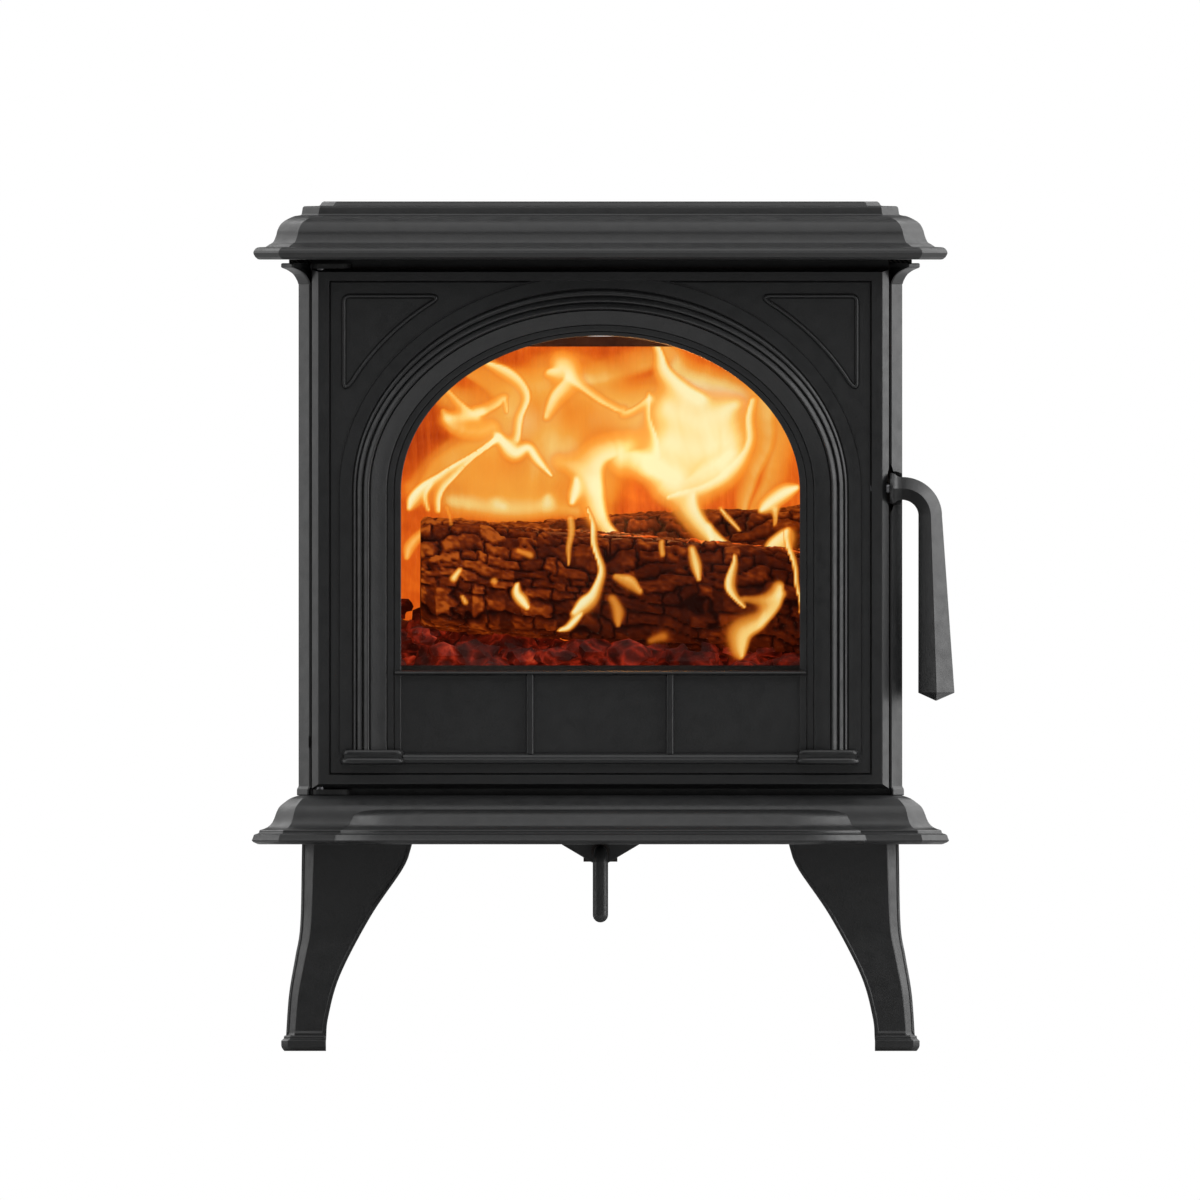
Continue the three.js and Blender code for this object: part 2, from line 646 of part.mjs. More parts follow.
function door() {
  const ahead = FACE_Y - 20;
  const field = box([-FIELD.half, FIELD.half], [ahead, FIELD.y], [FIELD.bottom, FIELD.top]);
  const panels = PANELS.map((xs) => box(xs, [ahead, PANEL_FLOOR_Y], PANEL_Z));
  const opening = panel(windowOutline(0), [ahead, -100], 30);
  const seat = panel(windowOutline(GLASS_OVERLAP + 0.5), [FACE_Y + 9, -100], 30);
  const railHalf = PLINTH.inner + 1;
  const rail = box([-railHalf, railHalf], [FIELD.y - 3, FIELD.y + 1], [PLINTH.bottom, PLINTH.step]);
  const pins = [[DOOR.bottom - 1, DOOR.bottom + 14], [DOOR.top - 13, DOOR.top + 1]].map((span) =>
    cylinder(HINGE.pinR + 0.25, "z", span, [HINGE.x, HINGE.y, 0]),
  );
  const screws = clipPlaces().map((place) => {
    const [x, z] = clipScrewPlace(place);
    return cylinder(2.4, "y", [FACE_Y + 4.5, -100], [x, 0, z], 12);
  });
  const spindle = cylinder(SPINDLE_R + 0.25, "x", [CAM_X[0], DOOR_HALF + 2], [0, HANDLE_Y, HANDLE_Z], 16);
  const camSpan = [CAM_X[0] - 1.5, CAM_X[1] + 1.5];
  const camPocket = box(camSpan, [FACE_Y + 1, -100], [HANDLE_Z - 26, HANDLE_Z + 9]);
  const solids = [doorSlab().subtract(field), archMoulding(), rail, plinth(-1), plinth(1)];
  return joined([...solids, spandrelBead(-1), spandrelBead(1)]).subtract(
    joined([opening, seat, ...panels, ...pins, ...screws, spindle, camPocket, hubNotch()]),
  );
}

const doorGlass = () => panel(windowOutline(GLASS_OVERLAP), GLASS_Y, 30);

function glassGasket() {
  const depth = [FACE_Y + 9.3, GLASS_Y[0] - GAP];
  const ring = panel(windowOutline(GLASS_OVERLAP), depth, 30);
  return ring.subtract(panel(windowOutline(1.5), [depth[0] - 1, depth[1] + 1], 30));
}

function doorRope() {
  const depth = [DOOR.rear + GAP, FRAME_Y[0] - GAP];
  const { inner, outer, bottom, top } = ROPE;
  const width = outer - inner;
  const ring = box([-outer, outer], depth, [bottom, top]);
  return ring.subtract(box([-inner, inner], [depth[0] - 1, depth[1] + 1], [bottom + width, top - width]));
}

// A flat clip that holds the glass from behind, lying along +X from the window edge.
function glassClip() {
  const y = [GLASS_Y[1] + GAP, GLASS_Y[1] + GAP + 2];
  const strip = box([2, 22], y, [-6, 6]);
  return strip.subtract(cylinder(2.6, "y", [y[0] - 1, y[1] + 1], [CLIP_SCREW_OFFSET, 0, 0], 12));
}

// ---- Hinge and latch fittings on the body ----
function hingeBracket([z0, z1]) {
  const shape = new THREE.Shape();
  const edge = -WALL_IN + 0.5;
  shape.moveTo(edge, FRAME_Y[0] - GAP);
  shape.lineTo(edge, HINGE.y - 1);
  shape.absarc(HINGE.x, HINGE.y - 0.5, 5, Math.PI, Math.PI * 1.5, false);
  shape.lineTo(-186, HINGE.y - 5.5);
  shape.quadraticCurveTo(-176, HINGE.y - 5.5, -176, FRAME_Y[0] - GAP);
  const tongue = plate(shape, [z0, z1], 6);
  return tongue.subtract(cylinder(HINGE.pinR + 0.25, "z", [z0 - 1, z1 + 1], [HINGE.x, HINGE.y, 0], 16));
}

const hingePin = (span) => cylinder(HINGE.pinR, "z", span, [HINGE.x, HINGE.y, 0], 16);

function latchKeeper() {
  const root = box([CAM_X[0] - 2, DOORWAY.half - GAP], [-108, -100], [404.5, 414]);
  return root.add(box([DOORWAY.half - 6, DOORWAY.half - GAP], [-116.5, -100], [404.5, 424]));
}

// ---- Handle ----
// One section of the bar: a square standing on its corner, so that a ridge faces forward.
function diamond(x, z, alongX, alongZ, half, deep) {
  return [
    new THREE.Vector3(x + alongX * half[0], HANDLE_Y, z + alongZ * half[0]),
    new THREE.Vector3(x, HANDLE_Y - deep, z),
    new THREE.Vector3(x - alongX * half[1], HANDLE_Y, z - alongZ * half[1]),
    new THREE.Vector3(x, HANDLE_Y + deep, z),
  ];
}

function doorHandle() {
  const root = [[HUB_X[1] - 1, HUB_R - 0.3], [209.5, 9.3], [BEND.x, 8.2]].map(([x, half]) =>
    diamond(x, HANDLE_Z, 0, 1, [half, half], half),
  );
  const steps = 10;
  const bend = Array.from({ length: steps }, (_, i) => {
    const turn = (Math.PI / 2) * (1 - (i + 1) / steps);
    const [c, s] = [Math.cos(turn), Math.sin(turn)];
    const x = BEND.x + BEND.ridge * c;
    const z = BEND.z + (HANDLE_Z - BEND.z) * s;
    return diamond(x, z, c, s, [8.2, 8.8], 8.6);
  });
  const grip = diamond(237.9, GRIP_END_Z, 1, 0, [12.9, 13], 13);
  const tip = diamond(237.6, GRIP_TIP_Z, 1, 0, [0.6, 0.6], 0.6);
  const hub = cylinder(HUB_R, "x", HUB_X, [0, HANDLE_Y, HANDLE_Z], 28);
  return skin([...root, ...bend, grip, tip]).add(hub);
}

const handleSpindle = () =>
  cylinder(SPINDLE_R, "x", [CAM_X[0] - 1, HUB_X[0] - GAP], [0, HANDLE_Y, HANDLE_Z], 16);

// The latch cam: a hook on the spindle whose claw stops just under the keeper.
function latchCam() {
  const y = HANDLE_Y;
  const z = HANDLE_Z;
  const arm = [[y, z - 5], [y + 30, z - 6], [y + 34, z - 3]];
  const claw = [[y + 34, z + 5], [y + 29, z + 5], [y + 28, z + 2], [y, z + 5]];
  const hook = outline([...arm, ...claw]);
  const eye = cylinder(5.6, "x", CAM_X, [0, y, z], 20);
  const hole = cylinder(SPINDLE_R + 0.2, "x", [CAM_X[0] - 1, CAM_X[1] + 1], [0, y, z], 16);
  return slab(hook, CAM_X).add(eye).subtract(hole);
}

// ---- Firebox ----
function hearthPlate() {
  const { half, front, back, z, legHalf, wall } = HEARTH;
  const table = box([-half, half], [front, back], z);
  const walls = [-1, 1].map((side) => {
    const xs = ordered(side * legHalf, side * (legHalf - wall));
    return box(xs, [front, back], [WALL_BOTTOM, z[0] + 1]);
  });
  const mouth = box([-GRATE.half + 9, GRATE.half - 9], [GRATE.front + 8, GRATE.back - 8], [200, 260]);
  return table.add(joined(walls)).subtract(mouth);
}

function grate() {
  const { half, front, back, thick } = GRATE;
  const frame = box([-half, half], [front, back], [HEARTH_TOP, HEARTH_TOP + thick]);
  const slots = [-60, -36, -12, 12, 36, 60].map((x) =>
    box([x - 5, x + 5], [front + 14, back - 14], [HEARTH_TOP - 1, HEARTH_TOP + thick + 1]),
  );
  return frame.subtract(joined(slots));
}

const sideBrick = (side) => {
  const xs = ordered(side * BRICK_IN, side * (WALL_IN - 0.6));
  return box(xs, [HEARTH.front, HEARTH.back], [HEARTH_TOP, BRICK_TOP]);
};

// The rear brick has upright ribs on its face.
function rearBrick() {
  const half = BRICK_IN - GAP;
  const [face, rear] = REAR_BRICK_Y;
  const points = [[half, rear], [-half, rear], [-half, face + 4]];
  const ribs = 18;
  const pitch = (2 * half) / ribs;
  for (let i = 0; i < ribs; i++) {
    const start = -half + i * pitch;
    points.push([start + pitch * 0.2, face + 4], [start + pitch * 0.3, face]);
    points.push([start + pitch * 0.8, face], [start + pitch * 0.9, face + 4]);
  }
  points.push([half, face + 4]);
  return plate(outline(points), [HEARTH_TOP, BRICK_TOP]);
}

function bafflePlate() {
  const half = WALL_IN - 0.6;
  return box([-half, half], [BAFFLE.front, HEARTH.back], BAFFLE.z);
}

function logGuard() {
  const wall = box([-GUARD.half, GUARD.half], GUARD.y, [HEARTH_TOP, GUARD.top]);
  const foot = box([-GUARD.half, GUARD.half], [GUARD.y[0], GUARD.y[1] + 8], [HEARTH_TOP, HEARTH_TOP + 3]);
  return wall.add(foot);
}

function ashPan() {
  const { half, front, back, bottom, top, wall } = PAN;
  const tray = box([-half, half], [front, back], [bottom, top]);
  const hollow = box([-half + wall, half - wall], [front + wall, back - wall], [bottom + wall, top + 1]);
  const grip = box([-30, 30], [front - 6, front + 1], [top - 12, top - 9]);
  return tray.subtract(hollow).add(grip);
}

// A split log along X, from one end centre to the other, with a lumpy eight-sided section.
function log(start, end, [deep, tall], seed) {
  const stations = 7;
  const sides = 9;
  const rings = Array.from({ length: stations }, (_, i) => {
    const t = i / (stations - 1);
    const centre = start.clone().lerp(end, t);
    const swell = 1 - 0.05 * Math.cos(seed + 7 * t);
    return Array.from({ length: sides }, (_, k) => {
      const turn = (k / sides) * 2 * Math.PI;
      const lump = swell * (1 - 0.06 * Math.cos(3 * turn + seed));
      const y = centre.y + deep * lump * Math.cos(turn);
      const z = centre.z + tall * lump * Math.sin(turn);
      return new THREE.Vector3(centre.x, y, z);
    });
  });
  return skin(rings);
}

const frontLog = () =>
  log(new THREE.Vector3(-124, -34, 338), new THREE.Vector3(152, -34, 318), [33, 37], 1.1);
const rearLog = () =>
  log(new THREE.Vector3(-118, 48, 336), new THREE.Vector3(160, 48, 352), [35, 35], 2.6);

// Glowing embers heaped on the grate, between the log guard and the bricks.
function emberBed() {
  const columns = 12;
  const rows = 7;
  const [x1, y0, y1] = [EMBERS.half, ...EMBERS.y];
  const rings = Array.from({ length: columns + 1 }, (_, i) => {
    const u = (2 * i) / columns - 1;
    const top = Array.from({ length: rows + 1 }, (_, j) => {
      const v = (2 * j) / rows - 1;
      const z = EMBERS.top - EMBERS.fallX * u * u - EMBERS.fallY * v * v;
      return new THREE.Vector3(u * x1, THREE.MathUtils.mapLinear(v, -1, 1, y1, y0), z);
    });
    const floor = [y0, y1].map((y) => new THREE.Vector3(u * x1, y, HEARTH_TOP));
    return [...floor, ...top];
  });
  const { half, front, back, thick } = GRATE;
  const over = [HEARTH_TOP - 5, HEARTH_TOP + thick + GAP];
  return skin(rings).subtract(box([-half - GAP, half + GAP], [front - GAP, back + GAP], over));
}

// ---- Primary air control ----
function airRodBracket() {
  const root = SLAB_UNDERSIDE - GAP;
  const left = [[-27.5, root], [-27.5, 146.2], [-5.5, 133.2]];
  const right = [[5.5, 133.2], [27.5, 146.2], [27.5, root]];
  const shape = outline([...left, ...right]);
  const depth = [AIR_BRACKET_Y, AIR_BRACKET_Y + 5];
  const hole = cylinder(6.4, "y", [depth[0] - 1, depth[1] + 1], [0, 0, AIR_Z], 24);
  return panel(shape, depth).subtract(hole);
}

function airRod() {
  const bend = 8;
  const path = new THREE.CurvePath();
  const at = (y, z) => new THREE.Vector3(0, y, z);
  const [tabY, gripY] = [SLIDER.y[0] - 3 - GAP, AIR_GRIP_Y];
  const bendStart = at(gripY + bend, AIR_Z);
  path.add(new THREE.LineCurve3(at(tabY, AIR_Z), bendStart));
  path.add(new THREE.QuadraticBezierCurve3(bendStart, at(gripY, AIR_Z), at(gripY, AIR_Z - bend)));
  const section = new THREE.Shape().absarc(0, 0, AIR_ROD_R, 0, 2 * Math.PI, false);
  const options = { steps: 26, extrudePath: path, curveSegments: 6, bevelEnabled: false };
  const bar = solid(new THREE.ExtrudeGeometry(section, options));
  const ballZ = AIR_GRIP_BOTTOM + AIR_GRIP_R;
  const grip = cylinder(AIR_GRIP_R, "z", [ballZ, AIR_Z - bend + 1], [0, gripY, 0], 20);
  const sphere = new THREE.SphereGeometry(AIR_GRIP_R, 20, 10).rotateX(Math.PI / 2);
  const ball = solid(sphere.translate(0, gripY, ballZ));
  const stub = cylinder(2.9, "y", [tabY - 1, SLIDER.y[0] + 5], [0, 0, AIR_Z], 12);
  return joined([bar, grip, ball, stub]);
}

function airSlider() {
  const { half, y, z, tab } = SLIDER;
  const sheet = box([-half, half], y, z);
  const lug = box([-tab, tab], [y[0] - 3, y[0]], [134, z[1]]);
  const slotY = AIR_SLOT.y.map((edge) => edge + AIR_TRAVEL + 2);
  const slot = box([-AIR_SLOT.half, AIR_SLOT.half], slotY, [z[0] - 1, z[1] + 1]);
  const hole = cylinder(3.2, "y", [y[0] - 4, y[0] + 1], [0, 0, AIR_Z], 12);
  return sheet.add(lug).subtract(slot).subtract(hole);
}

// An angle rail that carries one edge of the slider.
function sliderGuide(side) {
  const { half, z } = SLIDER;
  const root = SLAB_UNDERSIDE - GAP;
  const [inner, outer, ledge] = [half + 0.4, half + 10, z[0] - 0.4];
  const lip = [[half - 8, ledge], [half - 8, 159]];
  const section = outline([[inner, root], [inner, ledge], ...lip, [outer, 159], [outer, root]]);
  const rail = panel(section, [-104, 40]);
  return side < 0 ? rail.mirror([1, 0, 0]) : rail;
}

// ---- Assembly ----
const stove = new THREE.Group();

// A group whose own origin is the axis that its pieces move about.
function movingGroup(parent, pivot, parentPivot = new THREE.Vector3()) {
  const group = new THREE.Group();
  group.position.copy(pivot).sub(parentPivot);
  parent.add(group);
  return { group, pivot };
}

const still = { group: stove, pivot: new THREE.Vector3() };
const doorPivot = new THREE.Vector3(HINGE.x, HINGE.y, 0);
const swinging = movingGroup(stove, doorPivot);
const turning = movingGroup(swinging.group, new THREE.Vector3(0, HANDLE_Y, HANDLE_Z), doorPivot);
const sliding = movingGroup(stove, new THREE.Vector3(0, AIR_GRIP_Y, AIR_Z));

// Adds a named piece, modelled in the stove's own frame, and moves it by an optional offset.
function add(name, body, material, { group, pivot } = still, offset = [0, 0, 0]) {
  const mesh = new THREE.Mesh(geometryOf(body), material);
  mesh.name = name;
  mesh.position.fromArray(offset).sub(pivot);
  group.add(mesh);
  return mesh;
}

add("top_plate", topPlate(), paintedIron());
add("top_outlet_cover", outletCover(), paintedIron());
add("top_seal_rope", topSealRope(), rope());
add("left_side_wall", leftWall(), paintedIron());
add("right_side_wall", rightWall(), paintedIron());
add("back_panel", backPanel(), paintedIron());
add("front_frame", frontFrame(), rawIron());
add("base_plate", basePlate(), paintedIron());

for (const { name, side, end, x, y } of legPlaces()) {
  add(`leg_${name}`, leg(side, end), paintedIron());
  add(`leg_bolt_${name}`, bolt(8.5, 6, 4.8, 20), steel(), still, [x, y, LEG_PAD.bottom - GAP]);
}

const rodNames = ["front_left", "rear_left", "front_right", "rear_right"];
rodPlaces().forEach(([x, y], i) => {
  const length = ROD_TOP - SLAB_UNDERSIDE + GAP;
  add(`tie_rod_${rodNames[i]}`, bolt(7.5, 6, ROD_R, length), steel(), still, [x, y, SLAB_UNDERSIDE - GAP]);
});

add("flue_collar", flueCollar(), paintedIron());
for (const [name, x] of [["left", -FLANGE_BOLT_X], ["right", FLANGE_BOLT_X]]) {
  const fitting = add(`flue_collar_bolt_${name}`, bolt(6, 4, 3, 12), steel());
  fitting.rotation.x = Math.PI / 2;
  fitting.position.set(x, BACK_Y + 8 + GAP, FLUE_Z);
}

add("baffle_plate", bafflePlate(), brick());
add("left_fire_brick", sideBrick(-1), brick());
add("right_fire_brick", sideBrick(1), brick());
add("rear_fire_brick", rearBrick(), brick());
add("hearth_plate", hearthPlate(), rawIron());
add("fire_grate", grate(), rawIron());
add("log_guard", logGuard(), rawIron());
add("ash_pan", ashPan(), steel());
add("front_log", frontLog(), charred());
add("rear_log", rearLog(), charred());
add("ember_bed", emberBed(), embers());

add("lower_hinge_bracket", hingeBracket([181.5, 185.1]), rawIron());
add("upper_hinge_bracket", hingeBracket([554, 557.4]), rawIron());
add("lower_hinge_pin", hingePin([181.7, DOOR.bottom + 12]), steel());
add("upper_hinge_pin", hingePin([DOOR.top - 11, 557.3]), steel());
add("latch_keeper", latchKeeper(), steel());
add("air_rod_bracket", airRodBracket(), paintedIron());
add("slider_guide_left", sliderGuide(-1), rawIron());
add("slider_guide_right", sliderGuide(1), rawIron());

add("door", door(), paintedIron(), swinging);
add("door_glass", doorGlass(), glass(), swinging);
add("glass_gasket", glassGasket(), rope(), swinging);
add("door_rope_seal", doorRope(), rope(), swinging);
for (const place of clipPlaces()) {
  const clip = add(`glass_clip_${place.name}`, glassClip(), steel(), swinging, [place.x, 0, place.z]);
  clip.rotation.y = -place.turn;
  const [x, z] = clipScrewPlace(place);
  const screw = add(`glass_clip_screw_${place.name}`, bolt(4, 2.4, 2.1, 10), steel(), swinging);
  screw.rotation.x = Math.PI / 2;
  screw.position.set(x, GLASS_Y[1] + 2 + 2 * GAP, z).sub(swinging.pivot);
}

add("door_handle", doorHandle(), paintedIron(), turning);
add("handle_spindle", handleSpindle(), steel(), turning);
add("latch_cam", latchCam(), steel(), turning);

add("air_control_rod", airRod(), paintedIron(), sliding);
add("air_slider", airSlider(), rawIron(), sliding);

export default stove;
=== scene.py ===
"""Looks of a cast-iron wood burning stove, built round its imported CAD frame.

Shapes are worked out in millimetres in the row frame (+Z up, the door faces -Y) and become metres
when a mesh is made.
"""

import json
import math
import random

import bmesh
import bpy
import numpy as np
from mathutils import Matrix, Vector, noise


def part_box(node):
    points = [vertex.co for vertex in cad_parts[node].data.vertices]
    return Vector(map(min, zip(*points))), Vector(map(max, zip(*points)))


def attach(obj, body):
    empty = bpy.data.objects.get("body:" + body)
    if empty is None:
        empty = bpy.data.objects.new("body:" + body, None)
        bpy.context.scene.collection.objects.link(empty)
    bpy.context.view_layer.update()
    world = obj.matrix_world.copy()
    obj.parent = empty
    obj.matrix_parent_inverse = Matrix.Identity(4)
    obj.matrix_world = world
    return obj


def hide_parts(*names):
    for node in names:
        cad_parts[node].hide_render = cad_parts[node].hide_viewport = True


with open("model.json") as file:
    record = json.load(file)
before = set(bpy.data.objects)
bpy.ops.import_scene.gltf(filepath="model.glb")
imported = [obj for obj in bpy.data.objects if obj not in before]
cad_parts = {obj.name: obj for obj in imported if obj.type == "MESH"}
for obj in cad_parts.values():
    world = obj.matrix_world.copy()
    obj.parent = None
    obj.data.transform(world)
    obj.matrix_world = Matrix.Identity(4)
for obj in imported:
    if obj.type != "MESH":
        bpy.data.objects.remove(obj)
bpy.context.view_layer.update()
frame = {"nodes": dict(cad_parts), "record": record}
MM = 0.001


def cad_box(node):
    """Lowest and highest corner of a CAD node, in millimetres."""
    low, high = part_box(node)
    return Vector(low) / MM, Vector(high) / MM


# ---- Places taken from the frame ----
TOP_LOW, TOP_HIGH = cad_box("top_plate")
BASE_LOW, BASE_HIGH = cad_box("base_plate")
WALL_LOW, WALL_HIGH = cad_box("right_side_wall")
DOOR_LOW, DOOR_HIGH = cad_box("door")
GLASS_LOW, GLASS_HIGH = cad_box("door_glass")
LEG_TOP = cad_box("leg_front_right")[1].z
REAR_LEG_BACK = cad_box("leg_rear_right")[1].y
BACK_Y = cad_box("back_panel")[1].y
WALL_IN = WALL_LOW.x
FACE_Y = GLASS_LOW.y - 11.2  # front plane of the door
FIELD_Y = FACE_Y + 1.5  # the sunk field of the door
HANDLE_Y = FACE_Y + 7
HANDLE_Z = 398.3
WINDOW = {"half": 141.2, "bottom": 269.3, "spring": 396.5, "rise": 109.8}


# ---- Mesh helpers ----
class Shell:
    """Vertices and faces of a mesh while it is put together."""

    def __init__(self):
        self.verts = []
        self.faces = []

    def add(self, verts, faces):
        start = len(self.verts)
        self.verts += [tuple(v) for v in verts]
        self.faces += [tuple(start + i for i in face) for face in faces]
        return self

    def join(self, other):
        return self.add(other.verts, other.faces)

    def rings(self, rings, caps=(True, True), around=True):
        """Skins rows of equally many points, and closes the two ends if asked to."""
        count = len(rings[0])
        faces = []
        for row in range(len(rings) - 1):
            for i in range(count if around else count - 1):
                a, b = row * count + i, row * count + (i + 1) % count
                faces.append((a, b, b + count, a + count))
        if caps[0]:
            faces.append(tuple(reversed(range(count))))
        if caps[1]:
            last = (len(rings) - 1) * count
            faces.append(tuple(range(last, last + count)))
        return self.add([point for ring in rings for point in ring], faces)

    def mirrored(self):
        """The same shell on the other side of the plane X = 0."""
        verts = [(-x, y, z) for x, y, z in self.verts]
        return Shell().add(verts, [tuple(reversed(face)) for face in self.faces])

    def sheet(self, loops, plane):
        """Fills the flat area between loops of 2D points; plane turns a 2D point into a vertex."""
        bm = bmesh.new()
        edges = []
        for loop in loops:
            made = [bm.verts.new(plane(point)) for point in loop]
            edges += [bm.edges.new((v, made[(i + 1) % len(made)])) for i, v in enumerate(made)]
        bmesh.ops.triangle_fill(bm, use_beauty=True, use_dissolve=False, edges=edges)
        bm.verts.index_update()
        self.add([v.co for v in bm.verts], [[v.index for v in f.verts] for f in bm.faces])
        bm.free()
        return self


def mesh_object(name, shell, smooth_angle=32.0):
    """A mesh object in metres, shaded smooth except across edges sharper than smooth_angle."""
    bm = bmesh.new()
    verts = [bm.verts.new(Vector(v) * MM) for v in shell.verts]
    for face in shell.faces:
        corners = [verts[i] for i in dict.fromkeys(face)]
        if len(corners) > 2 and not bm.faces.get(corners):
            bm.faces.new(corners)
    bmesh.ops.remove_doubles(bm, verts=bm.verts, dist=2e-6)
    bmesh.ops.recalc_face_normals(bm, faces=bm.faces)
    mesh = bpy.data.meshes.new(name)
    bm.to_mesh(mesh)
    bm.free()
    mesh.polygons.foreach_set("use_smooth", [True] * len(mesh.polygons))
    mesh.set_sharp_from_angle(angle=math.radians(smooth_angle))
    made = bpy.data.objects.new(name, mesh)
    bpy.context.scene.collection.objects.link(made)
    return made


def round_edges(target, width, angle=30.0):
    """Rounds every edge sharper than angle; width is in millimetres."""
    bevel = target.modifiers.new("rounded", "BEVEL")
    bevel.width = width * MM
    bevel.segments = 2
    bevel.limit_method = "ANGLE"
    bevel.angle_limit = math.radians(angle)
    bevel.harden_normals = True


def cut(shell, *cutters):
    """The shell with the cutters taken out of it."""
    body = mesh_object("cut_body", shell)
    tools = [mesh_object(f"cut_tool_{i}", cutter) for i, cutter in enumerate(cutters)]
    for tool in tools:
        boolean = body.modifiers.new("cut", "BOOLEAN")
        boolean.object = tool
        boolean.operation = "DIFFERENCE"
        boolean.solver = "EXACT"
    evaluated = body.evaluated_get(bpy.context.evaluated_depsgraph_get())
    result = evaluated.to_mesh()
    verts = [v.co / MM for v in result.vertices]
    faces = [tuple(p.vertices) for p in result.polygons]
    evaluated.to_mesh_clear()
    for used in [body, *tools]:
        bpy.data.meshes.remove(used.data)
    return Shell().add(verts, faces)


def flat_facets(target):
    """Lets large flat faces shade flat and leaves the turning to the small ones between them."""
    weighted = target.modifiers.new("flat facets", "WEIGHTED_NORMAL")
    weighted.keep_sharp = True
    weighted.weight = 90


def piece(name, shell, body, finish, slot, stands_for=(), edge=0.0, smooth_angle=32.0):
    """A finished piece that rides on a body and, if stands_for is given, is shown for those nodes."""
    made = mesh_object(name, shell, smooth_angle)
    made.data.materials.append(finish)
    if edge:
        round_edges(made, edge)
    if finish == IRON:
        flat_facets(made)
    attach(made, body)
    if stands_for:
        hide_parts(*stands_for)
    return made


def casting(name, shell, *stands_for, body="stove_body", **shading):
    """A piece of painted cast iron."""
    return piece(name, shell, body, IRON, "painted_iron", stands_for, **shading)


# ---- Outline helpers ----
def arc(centre, radii, start, end, steps):
    """Points on an ellipse between two angles in degrees."""
    turns = [math.radians(start + (end - start) * i / steps) for i in range(steps + 1)]
    return [(centre[0] + radii[0] * math.cos(t), centre[1] + radii[1] * math.sin(t)) for t in turns]


def through(points, steps=6):
    """A Catmull-Rom curve through points of any number of coordinates."""
    values = [Vector(p) for p in points]
    padded = [values[0] * 2 - values[1], *values, values[-1] * 2 - values[-2]]
    curve = []
    for a, b, c, d in zip(padded, padded[1:], padded[2:], padded[3:]):
        for i in range(steps):
            t = i / steps
            curve.append(0.5 * (2 * b + (c - a) * t + (2 * a - 5 * b + 4 * c - d) * t**2
                                + (3 * b - a - 3 * c + d) * t**3))
    return curve + [values[-1]]


def rounded_rectangle(x0, x1, z0, z1, radius, steps):
    """A rectangle with round corners, anticlockwise from its lower left corner."""
    corners = [(x0, z0, 180), (x1, z0, 270), (x1, z1, 0), (x0, z1, 90)]
    loop = []
    for x, z, start in corners:
        centre_x = x + math.copysign(radius, x0 + x1 - 2 * x)
        centre_z = z + math.copysign(radius, z0 + z1 - 2 * z)
        loop += arc((centre_x, centre_z), (radius, radius), start, start + 90, steps)
    return loop


def front(y):
    """Stands a 2D point up at a depth, as (x, z)."""
    return lambda point: (point[0], y, point[1])


def along_y(loop, depths):
    """The same loop of (x, z) points at several depths."""
    return [[(x, y, z) for x, z in loop] for y in depths]


def box_shell(xs, ys, zs):
    """A box between two values on each axis."""
    plan = [(xs[0], ys[0]), (xs[1], ys[0]), (xs[1], ys[1]), (xs[0], ys[1])]
    return Shell().rings([[(x, y, z) for x, y in plan] for z in zs])


def tube(path, radii, sides):
    """A round bar along a path of vectors, with one radius for each point."""
    rings = []
    normal = None
    for i, point in enumerate(path):
        ahead = path[min(i + 1, len(path) - 1)] - path[max(i - 1, 0)]
        ahead.normalize()
        if normal is None:
            normal = ahead.orthogonal().normalized()
        normal = (normal - ahead * normal.dot(ahead)).normalized()
        across = ahead.cross(normal)
        ring = []
        for k in range(sides):
            turn = 2 * math.pi * k / sides
            ring.append(point + (normal * math.cos(turn) + across * math.sin(turn)) * radii[i])
        rings.append(ring)
    return Shell().rings(rings)


def turned(profile, centre, axis="y", sides=96):
    """Turns a closed profile of (radius, distance along the axis) about an axis through centre."""
    rings = []
    for k in range(sides + 1):
        turn = 2 * math.pi * (k % sides) / sides
        c, s = math.cos(turn), math.sin(turn)
        if axis == "y":
            rings.append([(centre[0] + r * c, d, centre[2] + r * s) for r, d in profile])
        if axis == "z":
            rings.append([(centre[0] + r * c, centre[1] + r * s, d) for r, d in profile])
        if axis == "x":
            rings.append([(d, centre[1] + r * c, centre[2] + r * s) for r, d in profile])
    return Shell().rings(rings, caps=(False, False))


